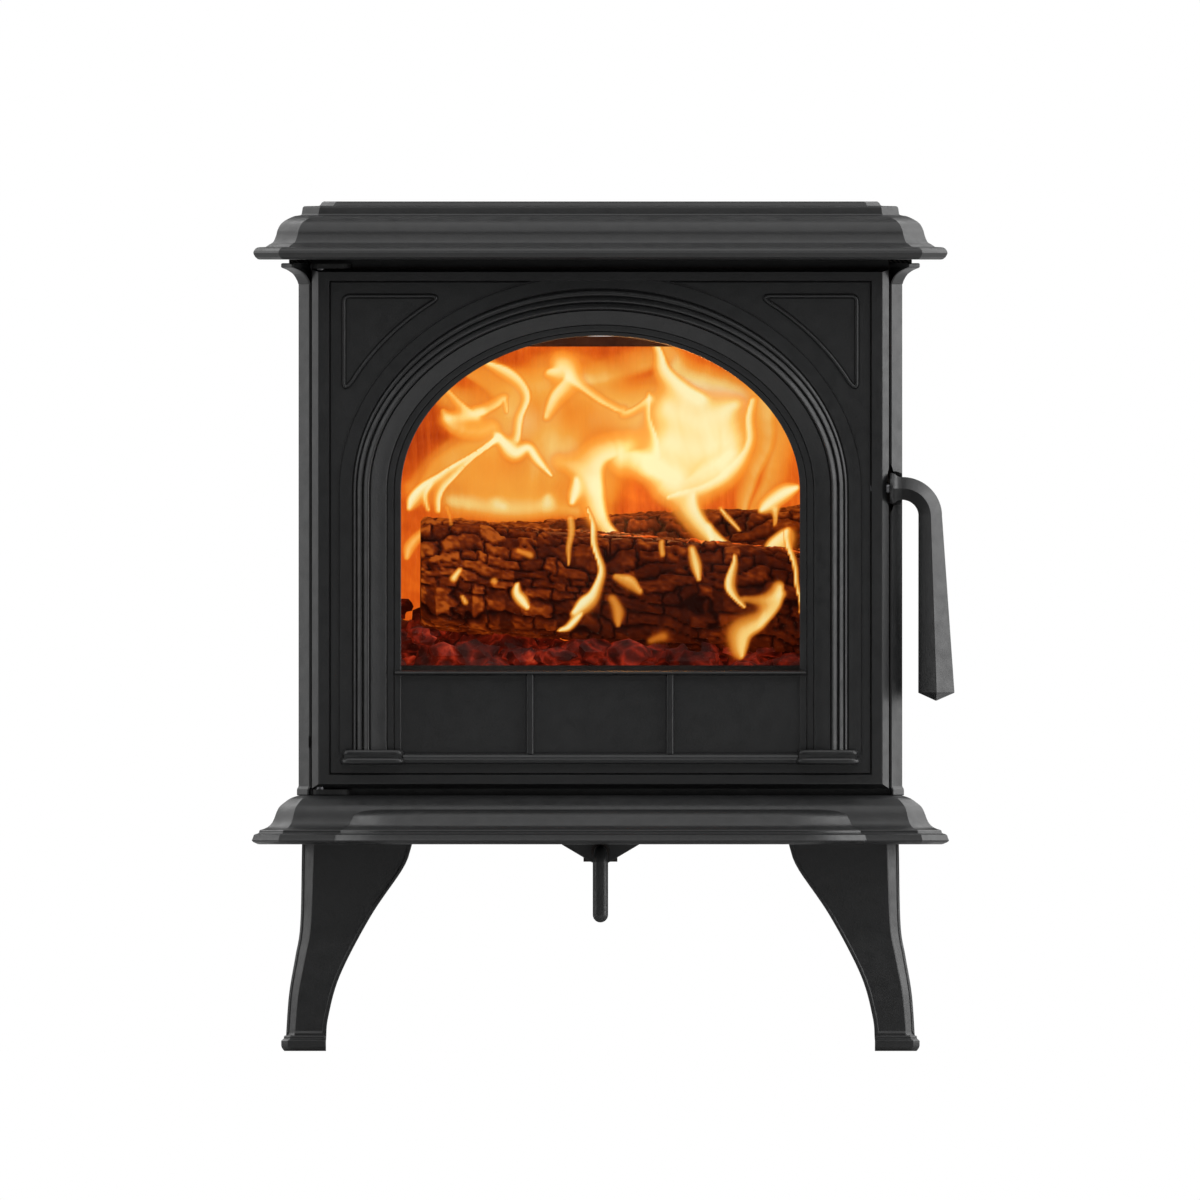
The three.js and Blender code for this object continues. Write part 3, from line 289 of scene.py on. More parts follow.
# ---- Materials ----
class Nodes:
    """A material's node tree with short calls for what the finishes share."""

    def __init__(self, name):
        self.material = bpy.data.materials.new(name)
        self.material.use_nodes = True
        self.tree = self.material.node_tree
        self.tree.nodes.clear()
        self.shader = self.make("ShaderNodeBsdfPrincipled")
        output = self.make("ShaderNodeOutputMaterial")
        self.link(self.shader.outputs[0], output.inputs[0])
        self.place = self.make("ShaderNodeTexCoord").outputs["Object"]

    def make(self, kind, **settings):
        node = self.tree.nodes.new(kind)
        for key, value in settings.items():
            setattr(node, key, value)
        return node

    def link(self, source, target):
        self.tree.links.new(source, target)

    def set(self, **values):
        for key, value in values.items():
            self.shader.inputs[key.replace("_", " ")].default_value = value

    def stretched(self, scale):
        node = self.make("ShaderNodeMapping")
        node.inputs["Scale"].default_value = scale
        self.link(self.place, node.inputs["Vector"])
        return node.outputs[0]

    def noise(self, scale, detail=4.0, roughness=0.55, distortion=0.0, vector=None):
        node = self.make("ShaderNodeTexNoise")
        values = {"Scale": scale, "Detail": detail, "Roughness": roughness, "Distortion": distortion}
        for label, value in values.items():
            node.inputs[label].default_value = value
        self.link(vector or self.place, node.inputs["Vector"])
        return node.outputs["Fac"]

    def cells(self, scale):
        node = self.make("ShaderNodeTexVoronoi", feature="DISTANCE_TO_EDGE")
        node.inputs["Scale"].default_value = scale
        self.link(self.place, node.inputs["Vector"])
        return node.outputs["Distance"]

    def ramp(self, factor, *stops):
        node = self.make("ShaderNodeValToRGB")
        stack = node.color_ramp.elements
        while len(stack) < len(stops):
            stack.new(0.5)
        for element, (position, color) in zip(stack, stops):
            element.position = position
            shade = (color,) * 3 if isinstance(color, (int, float)) else color
            element.color = (*shade, 1)
        self.link(factor, node.inputs[0])
        return node.outputs[0]

    def math(self, operation, a, b):
        node = self.make("ShaderNodeMath", operation=operation)
        for socket, value in zip(node.inputs, (a, b)):
            if isinstance(value, (int, float)):
                socket.default_value = value
            else:
                self.link(value, socket)
        return node.outputs[0]

    def attribute(self, name):
        return self.make("ShaderNodeAttribute", attribute_name=name).outputs["Fac"]

    def bump(self, height, strength, distance):
        node = self.make("ShaderNodeBump")
        node.inputs["Strength"].default_value = strength
        node.inputs["Distance"].default_value = distance * MM
        self.link(height, node.inputs["Height"])
        previous = self.shader.inputs["Normal"].links
        if previous:
            self.link(previous[0].from_socket, node.inputs["Normal"])
        self.link(node.outputs[0], self.shader.inputs["Normal"])

    def color(self, source):
        self.link(source, self.shader.inputs["Base Color"])

    def roughness(self, source):
        self.link(source, self.shader.inputs["Roughness"])

    def glow(self, source, strength):
        self.link(source, self.shader.inputs["Emission Color"])
        self.shader.inputs["Emission Strength"].default_value = strength


def cast_iron(name, dark, light, gloss, grain=0.5):
    """Iron cast in sand: a fine even grain, slow changes of tone and small pits."""
    nodes = Nodes(name)
    slow = nodes.noise(9.0, 3.0)
    fine = nodes.noise(650.0, 6.0, 0.6)
    tone = nodes.math("ADD", nodes.math("MULTIPLY", slow, 0.55), nodes.math("MULTIPLY", fine, 0.45))
    nodes.color(nodes.ramp(tone, (0.32, dark), (0.68, light)))
    nodes.roughness(nodes.ramp(nodes.noise(120.0, 4.0), (0.3, gloss - 0.06), (0.7, gloss + 0.08)))
    nodes.set(Metallic=0.0, Specular_IOR_Level=0.42)
    nodes.bump(fine, grain, 0.22)
    nodes.bump(nodes.noise(70.0, 3.0), 0.25, 0.5)
    return nodes.material


def machined_steel():
    """Dull zinc-plated steel with fine brushing and cloudy stains."""
    nodes = Nodes("machined_steel")
    brushed = nodes.noise(160.0, 3.0, vector=nodes.stretched((1, 1, 9)))
    stain = nodes.noise(40.0, 5.0)
    nodes.color(nodes.ramp(stain, (0.3, (0.10, 0.10, 0.105)), (0.7, (0.24, 0.24, 0.25))))
    nodes.roughness(nodes.ramp(brushed, (0.3, 0.34), (0.7, 0.52)))
    nodes.set(Metallic=0.9)
    nodes.bump(brushed, 0.3, 0.05)
    return nodes.material


def glass_rope():
    """Dark woven glass-fibre rope."""
    nodes = Nodes("glass_rope")
    weave = nodes.make("ShaderNodeTexWave", wave_type="BANDS", bands_direction="DIAGONAL")
    weave.inputs["Scale"].default_value = 190.0
    weave.inputs["Distortion"].default_value = 1.6
    nodes.link(nodes.place, weave.inputs["Vector"])
    nodes.color(nodes.ramp(weave.outputs["Fac"], (0.2, (0.018, 0.017, 0.016)), (0.8, (0.07, 0.066, 0.06))))
    nodes.roughness(nodes.ramp(nodes.noise(300.0), (0.3, 0.8), (0.7, 0.98)))
    nodes.bump(weave.outputs["Fac"], 0.8, 0.6)
    return nodes.material


def fire_lit_brick(name, glow):
    """Sooted vermiculite board: fine upright streaks and soot clouds, with painted fire light as its
    emission; glow sets how strong that light is.
    """
    nodes = Nodes(name)
    streaks = nodes.noise(55.0, 6.0, 0.7, 0.4, nodes.stretched((1.6, 1.0, 0.22)))
    soot = nodes.noise(16.0, 4.0, 0.6, 0.8)
    tone = nodes.math("ADD", nodes.math("MULTIPLY", streaks, 0.4), nodes.math("MULTIPLY", soot, 0.6))
    nodes.color(nodes.ramp(tone, (0.35, (0.05, 0.016, 0.006)), (0.65, (0.12, 0.05, 0.02))))
    nodes.roughness(nodes.ramp(soot, (0.3, 0.85), (0.7, 0.98)))
    # Painted fire light: the emission stands in for the fire's light falling on the board, stronger on its
    # lighter streaks.
    nodes.glow(nodes.ramp(tone, (0.34, (0.44, 0.036, 0.002)), (0.5, (0.72, 0.098, 0.006)),
                          (0.64, (0.92, 0.18, 0.012))), glow)
    nodes.bump(streaks, 0.5, 0.8)
    return nodes.material


def charred_wood():
    """Blocks of char with ash on their crowns, dark cracks, and a glow where a split is burning; painted
    fire light lies over all of it as emission.
    """
    nodes = Nodes("charred_wood")
    crown = nodes.attribute("crown")
    ember = nodes.attribute("ember")
    lit = nodes.attribute("fire_light")
    grain = nodes.noise(150.0, 6.0, 0.7, 0.3, nodes.stretched((0.25, 1, 1)))
    cloud = nodes.noise(22.0, 4.0, 0.6, 0.8)
    tone = nodes.math("MULTIPLY", crown, nodes.math("ADD", grain, nodes.math("MULTIPLY", cloud, 0.7)))
    nodes.color(nodes.ramp(tone, (0.1, (0.002, 0.0004, 0.0002)), (0.8, (0.016, 0.003, 0.0008))))
    nodes.roughness(nodes.ramp(grain, (0.3, 0.8), (0.7, 0.97)))
    nodes.set(Specular_IOR_Level=0.15)
    # warmth is painted fire light: the fire_light attribute times the char's tone, so it is weaker in the
    # cracks and on sunk blocks, which gives them painted shade.
    warmth = nodes.ramp(nodes.math("MULTIPLY", tone, lit), (0.04, (0.010, 0.0008, 0.0001)),
                        (0.25, (0.070, 0.0068, 0.0005)), (0.5, (0.19, 0.024, 0.0015)),
                        (0.8, (0.44, 0.088, 0.007)))
    hot = nodes.ramp(nodes.math("MULTIPLY", ember, nodes.noise(70.0, 4.0)), (0.15, 0.0),
                     (0.4, (0.9, 0.12, 0.01)), (0.65, (1.0, 0.42, 0.08)))
    mix = nodes.make("ShaderNodeMix", data_type="RGBA", blend_type="ADD")
    mix.inputs["Factor"].default_value = 1.0
    nodes.link(warmth, mix.inputs["A"])
    nodes.link(hot, mix.inputs["B"])
    nodes.glow(mix.outputs["Result"], 1.0)
    nodes.bump(grain, 0.6, 0.8)
    return nodes.material


def glowing_coals():
    """Coals with dark ashy crowns and red heat in between."""
    nodes = Nodes("glowing_coals")
    veins = nodes.cells(75.0)
    ash = nodes.noise(90.0, 6.0, 0.65)
    heat = nodes.math("MULTIPLY", nodes.noise(26.0, 5.0, 0.6, 0.6), nodes.math("SUBTRACT", 1.15, veins))
    nodes.color(nodes.ramp(ash, (0.35, (0.006, 0.002, 0.0015)), (0.75, (0.035, 0.010, 0.006))))
    nodes.roughness(nodes.ramp(ash, (0.3, 0.85), (0.7, 1.0)))
    nodes.glow(nodes.ramp(heat, (0.42, (0.022, 0.0012, 0.0004)), (0.56, (0.11, 0.006, 0.0016)),
                          (0.68, (0.36, 0.022, 0.007)), (0.84, (0.9, 0.12, 0.04))), 0.8)
    nodes.bump(ash, 0.7, 1.2)
    return nodes.material


def flame(name, strength):
    """Fire: each point's heat sets its colour and how much it hides."""
    nodes = Nodes(name)
    heat = nodes.attribute("fire_heat")
    wisps = nodes.noise(30.0, 4.0, 0.5, 1.2, nodes.stretched((1, 1, 0.5)))
    stirred = nodes.math("ADD", heat, nodes.math("MULTIPLY", nodes.math("SUBTRACT", wisps, 0.5), 0.35))
    masked = nodes.math("MULTIPLY", stirred, nodes.ramp(heat, (0.0, 0.0), (0.3, 1.0)))
    nodes.color(nodes.ramp(masked, (0.0, 0.0), (1.0, 0.02)))
    nodes.set(Roughness=1.0, Specular_IOR_Level=0.0)
    nodes.glow(nodes.ramp(masked, (0.03, (0.85, 0.13, 0.006)), (0.30, (1.0, 0.29, 0.022)),
                          (0.52, (1.0, 0.42, 0.055)), (0.74, (1.0, 0.68, 0.21)),
                          (0.95, (1.0, 0.90, 0.50))), strength)
    nodes.link(nodes.ramp(masked, (0.0, 0.0), (0.35, 0.6), (0.7, 0.96)), nodes.shader.inputs["Alpha"])
    return nodes.material


def stove_glass():
    """A clear ceramic pane with a faint film of soot."""
    nodes = Nodes("stove_glass")
    film = nodes.noise(14.0, 4.0)
    nodes.color(nodes.ramp(film, (0.3, (0.02, 0.012, 0.008)), (0.7, (0.05, 0.03, 0.02))))
    nodes.roughness(nodes.ramp(film, (0.3, 0.04), (0.7, 0.09)))
    nodes.link(nodes.ramp(film, (0.3, 0.03), (0.7, 0.07)), nodes.shader.inputs["Alpha"])
    return nodes.material


def studio_floor():
    """Pale matt floor."""
    nodes = Nodes("studio_floor")
    cloud = nodes.noise(1.5, 3.0)
    nodes.color(nodes.ramp(cloud, (0.2, 0.54), (0.8, 0.58)))
    nodes.roughness(nodes.ramp(cloud, (0.2, 0.75), (0.8, 0.85)))
    return nodes.material


IRON = cast_iron("painted_iron", (0.0085, 0.0087, 0.009), (0.0135, 0.0138, 0.0142), 0.4)
RAW_IRON = cast_iron("raw_iron", (0.018, 0.014, 0.012), (0.042, 0.034, 0.028), 0.68, 0.8)
# A near-black copy of the iron for the hinge brackets: painted shade, as they sit in deep shadow.
SHADED_HINGE_IRON = cast_iron("hinge_iron_painted_shade", (0.002, 0.002, 0.002), (0.004, 0.004, 0.004), 0.75)
STEEL = machined_steel()
ROPE = glass_rope()
# Lit and shaded copies of one board: their glow is painted fire light, strong on the rear brick's face,
# weaker on the side bricks, faint on the baffle and the rear brick's other faces.
BRICK = fire_lit_brick("fire_brick", 0.35)
REAR_BRICK = fire_lit_brick("rear_fire_brick", 0.95)
FAINT_GLOW_BRICK = fire_lit_brick("sooted_baffle", 0.04)
CHAR = charred_wood()
COALS = glowing_coals()
GLASS = stove_glass()


# ---- Top plate and base plate ----
TOP_PLAN = {"half": 245.8, "front": TOP_LOW.y, "back": TOP_HIGH.y, "chamfer": 17.8, "taper": 0.17}
BASE_PLAN = {"half": 246.8, "front": FACE_Y - 33.1, "back": BASE_HIGH.y, "chamfer": 18.8, "taper": 0.36}


def chamfered_rings(plan, profile):
    """Rectangles with cut corners, each drawn in to a half width at a height."""
    rings = []
    for half, z in profile:
        inset = plan["half"] - half
        chamfer = plan["chamfer"] - plan["taper"] * inset
        near, far = plan["front"] + inset, plan["back"] - inset
        right = [(half - chamfer, near), (half, near + chamfer), (half, far - chamfer),
                 (half - chamfer, far)]
        rings.append([(x, y, z) for x, y in right] + [(-x, y, z) for x, y in reversed(right)])
    return rings


# The top casting in section: half width, depth below the top face.
TOP_NOSE = [(241.2, 41.2), (242.6, 40.9), (244.3, 39.5), (245.3, 37.9), (245.8, 36.4), (245.3, 34.8),
            (244.2, 33.4), (242.8, 32.6), (241.4, 32.4)]
TOP_OGEE = [(237.0, 32.2), (234.4, 30.5), (231.5, 28.5), (229.6, 24), (228.7, 20.5), (226.5, 16.3),
            (223.2, 13.5), (217.5, 10.7), (213.4, 9.9)]
TOP_TIERS = [(212.0, 9.6), (211.5, 8.8), (210.9, 5.0), (210.5, 3.9), (209.4, 3.35), (199.6, 3.15),
             (198.7, 2.9), (198.2, 2.3), (197.4, 1.0), (196.6, 0.4), (196.0, 0)]
TOP_HOLLOW = [(200, 11.2), (203, 34), (212, 41.2)]


def top_plate():
    """The top: an ogee edge and two low tiers, hollow below, with a stepped hole for the outlet lid."""
    z = TOP_HIGH.z
    profile = [*TOP_HOLLOW, *TOP_NOSE, *through(TOP_OGEE, 4), *TOP_TIERS]
    rings = chamfered_rings(TOP_PLAN, [(half, z - depth) for half, depth in profile])
    shell = Shell().rings(rings, caps=(True, False))
    low, high = cad_box("top_outlet_cover")
    centre = ((low.x + high.x) / 2, (low.y + high.y) / 2)
    seat = (high.x - low.x) / 2 + 0.4
    circle = arc(centre, (seat + 0.5, seat + 0.5), 0, 360, 96)[:-1]
    top = [(x, y) for x, y, _ in rings[-1]]
    shell.sheet([top, circle], lambda p: (p[0], p[1], z))
    rebate = [(seat + 0.5, z), (seat, z - 0.5), (seat, z - 7.4), (58, z - 7.4), (58, z - 11.2)]
    shell.join(turned(rebate, centre, "z"))
    lip = WALL_IN - 1.8
    shell.join(box_shell((-lip, lip), (DOOR_HIGH.y + 0.7, DOOR_HIGH.y + 3.7), (WALL_HIGH.z - 2.6, z - 39)))
    casting("top_casting", shell, "top_plate", smooth_angle=17)


def outlet_cover():
    """The lid over the top outlet, with a sunk bowl and a lifting bar across it."""
    low, high = cad_box("top_outlet_cover")
    centre = (low + high) / 2
    radius = (high.x - low.x) / 2
    z = high.z
    profile = [(0.01, low.z), (radius, low.z), (radius, z - 0.7), (radius - 0.2, z - 0.2), (radius - 0.7, z),
               (24, z), (23.5, z - 0.2), (23.3, z - 0.8), (22.8, z - 1.2), (0.01, z - 1.2)]
    shell = turned(profile, centre, "z")
    shell.join(box_shell((-14, 14), (centre.y - 2.5, centre.y + 2.5), (z - 1.6, z - 0.3)))
    casting("top_outlet_lid", shell, "top_outlet_cover")


# The base casting in section: half width, height above its underside.
BASE_EDGE = [(241.4, 0.0), (242.6, 0.2), (245.4, 1.4), (246.6, 2.3), (246.8, 2.9), (246.2, 4.3),
             (245.4, 6.6), (244.6, 7.1), (242.4, 7.8), (241.7, 8.4), (241.5, 9.6), (240.9, 10.2),
             (239.4, 10.6)]
BASE_OGEE = [(238.4, 10.9), (235.4, 12.4), (232.6, 15.1), (231, 18.3), (230, 21), (228.8, 24),
             (227, 26.9), (223.8, 29.6), (219.8, 32.4), (216, 33.9)]
BASE_SHOULDER = 213.3
BASE_HOLLOW = [(219, 21.7), (229, 10.7), (237.5, 0)]
ASH_LIP = {"reach": 24.0, "turn": 188.6, "straight": 145.0, "height": 24.7}


def ash_lip():
    """The bowed shelf in front of the door: its ends curve forward out of the moulding."""
    z0 = BASE_LOW.z
    shelf = through([(238.2, 11.1), (234.6, 13.2), (232.0, 17.2), (229.8, 20.8), (226.2, 23.4),
                     (220, ASH_LIP["height"])], 4)
    rings = []
    for half, rise in [*BASE_EDGE, *shelf]:
        inset = BASE_PLAN["half"] - half
        root = BASE_PLAN["front"] + inset
        end = ASH_LIP["turn"] - 0.83 * inset
        run = ASH_LIP["turn"] - ASH_LIP["straight"]
        curve = []
        for i in range(25):
            s = i / 24
            curve.append((end - run * s, root - ASH_LIP["reach"] * (1 - (1 - s) ** 1.8)))
        rear = BASE_PLAN["front"] + 45
        right = [(end, rear), *curve]
        plan = right + [(-x, y) for x, y in reversed(right)]
        rings.append([(x, y, z0 + rise) for x, y in plan])
    return Shell().rings(rings)


def base_plate():
    """The base: an ogee edge with the ash lip, two skids for the ash pan and a rib behind the door."""
    z0 = BASE_LOW.z
    floor = WALL_LOW.z - 0.4 - z0
    profile = [*BASE_HOLLOW, *BASE_EDGE, *through([*BASE_OGEE, (BASE_SHOULDER, floor)], 3)]
    shell = Shell().rings(chamfered_rings(BASE_PLAN, [(half, z0 + rise) for half, rise in profile]))
    shell.join(ash_lip())
    for skid in ((-103, -95), (95, 103)):
        shell.join(box_shell(skid, (-95, 110), (z0 + floor - 1, BASE_HIGH.z)))
    rib = WALL_IN - 0.5
    rib_y = (DOOR_HIGH.y + 0.7, DOOR_HIGH.y + 2.7)
    shell.join(box_shell((-rib, rib), rib_y, (z0 + floor - 1, z0 + floor + 7)))
    casting("base_casting", shell, "base_plate", smooth_angle=17)


# ---- Side walls ----
def notch_round_hub():
    """The pointed hollow that leaves room for the handle's hub in the door edge and the right wall."""
    wide, deep, tall = 3.2, 12, 18
    rings = []
    for i in range(1, 24):
        turn = math.pi * i / 24
        lift, reach = -math.cos(turn), math.sin(turn) ** 1.5
        rings.append([(WALL_IN - 0.4 + wide * reach * math.cos(a), HANDLE_Y + 1 + deep * reach * math.sin(a),
                       HANDLE_Z + tall * lift) for a in np.linspace(0, 2 * math.pi, 24, endpoint=False)])
    return Shell().rings(rings)


# The capital's cove: how far it flares out, height above its foot.
CAPITAL_COVE = [(0.3, 0.3), (0.9, 2.2), (1.6, 3.6), (2.6, 5.4), (4.0, 7.2), (6.2, 8.9), (8.6, 10.3),
                (11.4, 11.4)]


def side_wall(seam):
    """The right wall: 45 degree corners, a coved capital and a small shoe at the foot.

    Its front edge comes in by the seam towards the edge of the door.
    """
    wall = 7.9
    outer = WALL_IN + wall
    corner_y = FACE_Y + 6
    bottom, top = WALL_LOW.z - 0.4, WALL_HIGH.z
    capital = top - 14.9

    def plan(flare, z):
        rear = 0.4 * flare
        return [(WALL_IN, corner_y + 17, z), (WALL_IN - seam, corner_y + 9, z),
                (WALL_IN - seam + flare, corner_y - flare, z), (WALL_IN + 0.5 + flare, corner_y - flare, z),
                (outer + flare, corner_y + wall - 0.5 - flare, z), (outer + flare, BACK_Y - wall, z),
                (WALL_IN + rear, BACK_Y, z), (WALL_IN, BACK_Y, z)]

    shoe = [(0.8, bottom), (1.2, bottom + 0.6), (1.2, bottom + 4.0), (0.9, bottom + 5.0),
            (0.2, bottom + 6.2), (0.0, bottom + 7), (0.0, capital)]
    cove = [(flare, capital + rise) for flare, rise in through(CAPITAL_COVE, 3)]
    lip = [(12.1, capital + 11.8), (12.4, capital + 12.4), (12.4, top - 0.7), (12.0, top - 0.2), (11.2, top)]
    rings = [plan(flare, z) for flare, z in [*shoe, *cove, *lip]]
    field = box_shell((outer - 1.5, outer + 3), (-98, 125), (205, 520))
    return cut(Shell().rings(rings), field)


def side_walls():
    """Both walls: the right one with room for the handle's hub, the left one with an adjusting slit."""
    pocket = turned([(0.01, 200), (12.2, 200), (12.2, 220), (0.01, 220)], (0, HANDLE_Y, HANDLE_Z), "x", 48)
    right = cut(side_wall(0.5), pocket, notch_round_hub())
    casting("right_wall_casting", right, "right_side_wall", edge=0.2)
    slit = box_shell((-WALL_IN - 0.8, -WALL_IN + 2), (FACE_Y + 3, FACE_Y + 12), (214.7, 223))
    left = cut(side_wall(0.75).mirrored(), slit)
    casting("left_wall_casting", left, "left_side_wall", edge=0.2)


# ---- Legs ----
# The edges of a leg seen from the front: half width, height.
LEG_INNER = [(133.4, 146), (139.5, 129.6), (162.4, 95.7), (184.2, 54), (192.7, 24), (194.2, 8)]
LEG_OUTER = [(211.3, 146), (212.5, 90), (216, 67), (220.5, 40), (222.8, 8)]
# The foot block in section: how far it grows, height above the floor.
FOOT_STEPS = [(-4.2, 11.2), (-2.4, 10.9), (-1.9, 10.2), (-1.9, 9.0), (-1.2, 8.3), (-0.6, 7.9), (0, 7.2),
              (0, 3.6), (-0.5, 2.2), (-1.6, 0.6), (-2.2, 0)]


def width_at(curve, z):
    """Half width of a leg's edge at a height."""
    points = through(curve, 12)
    heights = [p[1] for p in reversed(points)]
    return float(np.interp(z, heights, [p[0] for p in reversed(points)]))


def leg(side, end, face_y):
    """An angle of two wings with a beaded edge, a sunk cut corner and a stepped foot."""
    wall = 7.0

    def place(u, v, half, z):
        return (side * (half - u), face_y + end * (half - LEG_OUTER[0][0] - v), z)

    def section(z):
        """Both wings of the angle at a height, with the beaded edge and the sunk face."""
        half = width_at(LEG_OUTER, z)
        width = half - width_at(LEG_INNER, z)
        sunk = 0.9 * min(max((z - 12.6) / 1.6, 0), 1)
        corner = 2.2 + float(np.interp(z, [8, 167], [3.8, 6.6]))
        deep = 2.2 * min(max((z - 10.6) / 2.0, 0), 1)
        wing = [(width, wall), (width, 0.9), (width - 0.3, 0.25), (width - 0.9, 0), (width - 2.2, 0),
                (width - 2.7, sunk * 0.3), (width - 3.0, sunk * 0.9), (width - 3.4, sunk),
                (corner + 0.5, sunk), (corner + 0.1, sunk + 0.2), (corner - 0.1, sunk + 0.5),
                (corner - 0.2, deep)]
        mirror = [(v, u) for u, v in reversed(wing)]
        return [place(u, v, half, z) for u, v in [*wing, *mirror, (wall, wall)]]

    levels = [*np.linspace(LEG_TOP, 22, 34), 18, 15.2, 14.2, 13.6, 13, 12.4, 11.6, 10.4, 8]
    shell = Shell().rings([section(z) for z in levels])
    outer, inner = 226.0, 194.3

    def foot(grow, z):
        width = outer - inner + grow
        points = [(4.5, 0), (width - 0.8, 0), (width, 0.8), (width, width), (0, width), (0, 4.5)]
        return [place(u, v, outer + grow, z) for u, v in points]

    shell.rings([foot(grow, z) for grow, z in FOOT_STEPS])
    bolt_low, bolt_high = cad_box(f"leg_bolt_{'front' if end < 0 else 'rear'}_right")
    pad_x = sorted((side * (bolt_low.x - 6), side * (bolt_high.x + 6)))
    middle = (bolt_low.y + bolt_high.y) / 2
    pad_y = (middle - 14, middle + 14)
    shell.join(box_shell(pad_x, pad_y, (LEG_TOP - 6, LEG_TOP)))
    return shell


def legs():
    """Four legs; the left ones mirror the right ones."""
    for end_name, end, face_y in (("front", -1, FACE_Y + 2.4), ("rear", 1, REAR_LEG_BACK - 14.7)):
        for side_name, side in (("left", -1), ("right", 1)):
            node = f"leg_{end_name}_{side_name}"
            casting(f"{node}_casting", leg(side, end, face_y), node, edge=0.3)


# ---- Door ----
def window_loop(offset):
    """The window's outline grown by an offset, anticlockwise from the lower left, as (x, z)."""
    half, rise = WINDOW["half"] + offset, WINDOW["rise"] + offset
    bottom = WINDOW["bottom"] - offset
    return [(-half, bottom), (half, bottom), *arc((0, WINDOW["spring"]), (half, rise), 0, 180, 72)]


def door_outline(inset):
    """The door's outline drawn in by an inset, a little less at its bottom and top."""
    half = DOOR_HIGH.x - inset
    bottom = DOOR_LOW.z + float(np.interp(inset, [0, 5, 12.4, 20], [0, 3.4, 9.9, 17.5]))
    top = DOOR_HIGH.z - float(np.interp(inset, [0, 5, 12.4, 20], [0, 1.9, 8.1, 15.7]))
    return [(-half, bottom), (half, bottom), (half, top), (-half, top)]


# The three sunk panels under the window: left and right edge of each.
PANELS = ((-141.3, -52.7), (-47, 46.4), (52.1, 141.3))
PANEL_FOOT, PANEL_HEAD = 209.6, 266.0


def door_slab():
    """The plate behind all mouldings: bevelled edge, groove, sunk field, window, panel floor, glass seat."""
    y, rear = FACE_Y, DOOR_HIGH.y
    profile = [(0, rear), (0, y + 5.1), (0.3, y + 4.5), (4.4, y + 0.5), (5.0, y + 0.1), (5.8, y), (11.6, y),
               (12.1, y + 0.15), (12.4, y + 0.6), (12.5, FIELD_Y + 2.6), (13.2, FIELD_Y + 2.6),
               (13.3, FIELD_Y + 0.5), (13.6, FIELD_Y + 0.05), (14.2, FIELD_Y)]
    rings = []
    for inset, depth in profile:
        rings += along_y(door_outline(inset), [depth])
    shell = Shell().rings(rings, caps=(False, False))
    outline = door_outline(14.2)
    opening = moulding_loop(35.5, PANEL_FOOT + 0.8)
    corner = corner_outline(CHANNEL_HALF)
    shell.sheet([outline, opening, corner, [(-x, z) for x, z in corner]], front(FIELD_Y))
    floor_y = FACE_Y + 5.5
    width = PANELS[-1][1]
    shell.join(box_shell((-width, width), (floor_y, DOOR_HIGH.y - 6), (PANEL_FOOT - 4, PANEL_HEAD + 1)))
    for (_, x0), (x1, _) in zip(PANELS, PANELS[1:]):
        half = [(0, floor_y + 0.5), (0.2, FIELD_Y + 1.6), (0.7, FIELD_Y + 0.5), (1.5, FIELD_Y)]
        bar = [(x0 + step, depth) for step, depth in half]
        bar += [(x1 - step, depth) for step, depth in reversed(half)]
        shell.rings([[(x, depth, z) for x, depth in bar] for z in (PANEL_FOOT - 3, PANEL_HEAD + 1)])
    seat = FACE_Y + 9
    pocket = [(153.5, 376.3), (162.5, 376.3), (162.5, 407.3), (153.5, 407.3)]
    shell.sheet([door_outline(0), window_loop(8.5), pocket], front(rear))
    shell.rings(along_y(window_loop(8.5), (rear, seat)), caps=(False, False))
    shell.sheet([window_loop(8.5), window_loop(0)], front(seat))
    shell.rings(along_y(pocket, (rear, FACE_Y + 4)), caps=(False, True))
    return shell


# The arch moulding in section: offset from the window edge, height in front of the door's field.
MOULDING = [(0, -7.5), (0, -2.5), (0.3, -2.2), (0.9, -2.1), (4.3, -1.9), (4.55, -2.1), (4.7, -3.3),
            (5.1, -3.3), (5.3, -1.9), (5.7, -1.7), (9.2, -1.4), (9.55, -1.6), (9.7, -2.9), (10.1, -2.9),
            (10.35, -1.3), (10.8, -0.95), (13, -0.1), (16, 1.2), (19, 2.7), (20.9, 3.7), (21.5, 3.9),
            (21.8, 3.5), (22, 2.8), (22.3, 2.8), (22.5, 4.6), (22.8, 5.4), (23.4, 5.8), (24.0, 5.6),
            (26.5, 3.7), (26.75, 3.0), (26.8, 1.6), (27.2, 1.6), (27.3, 3.4), (27.6, 4.1), (28.1, 4.4),
            (28.7, 4.2), (30.6, 2.7), (30.9, 2.1), (30.95, 0.6), (31.3, 0.6), (31.4, 2.0), (31.7, 2.5),
            (32.1, 2.7), (32.6, 2.5), (33.4, 1.8), (33.65, 1.2), (33.75, -0.9), (34.3, -0.9), (34.4, 0.7),
            (34.8, 1.05), (36, 0.95), (38, 0.7), (43.3, 0.6), (43.5, 0.05), (43.9, 0.05), (44.1, 0.5),
            (44.5, 0.5), (44.7, -1)]
# Offsets at the sides of the arch, and what each comes to at its crown.
CROWN = ([0, 5, 10, 22, 27, 31, 34, 45], [0, 3.2, 7.7, 18.2, 23.3, 27.9, 33.2, 44.6])


def moulding_loop(offset, foot):
    """The window's outline grown by an offset; the reeds crowd together a little at the crown."""
    half = WINDOW["half"] + offset
    rise = WINDOW["rise"] + float(np.interp(offset, *CROWN))
    return [(half, foot), *arc((0, WINDOW["spring"]), (half, rise), 0, 180, 72), (-half, foot)]


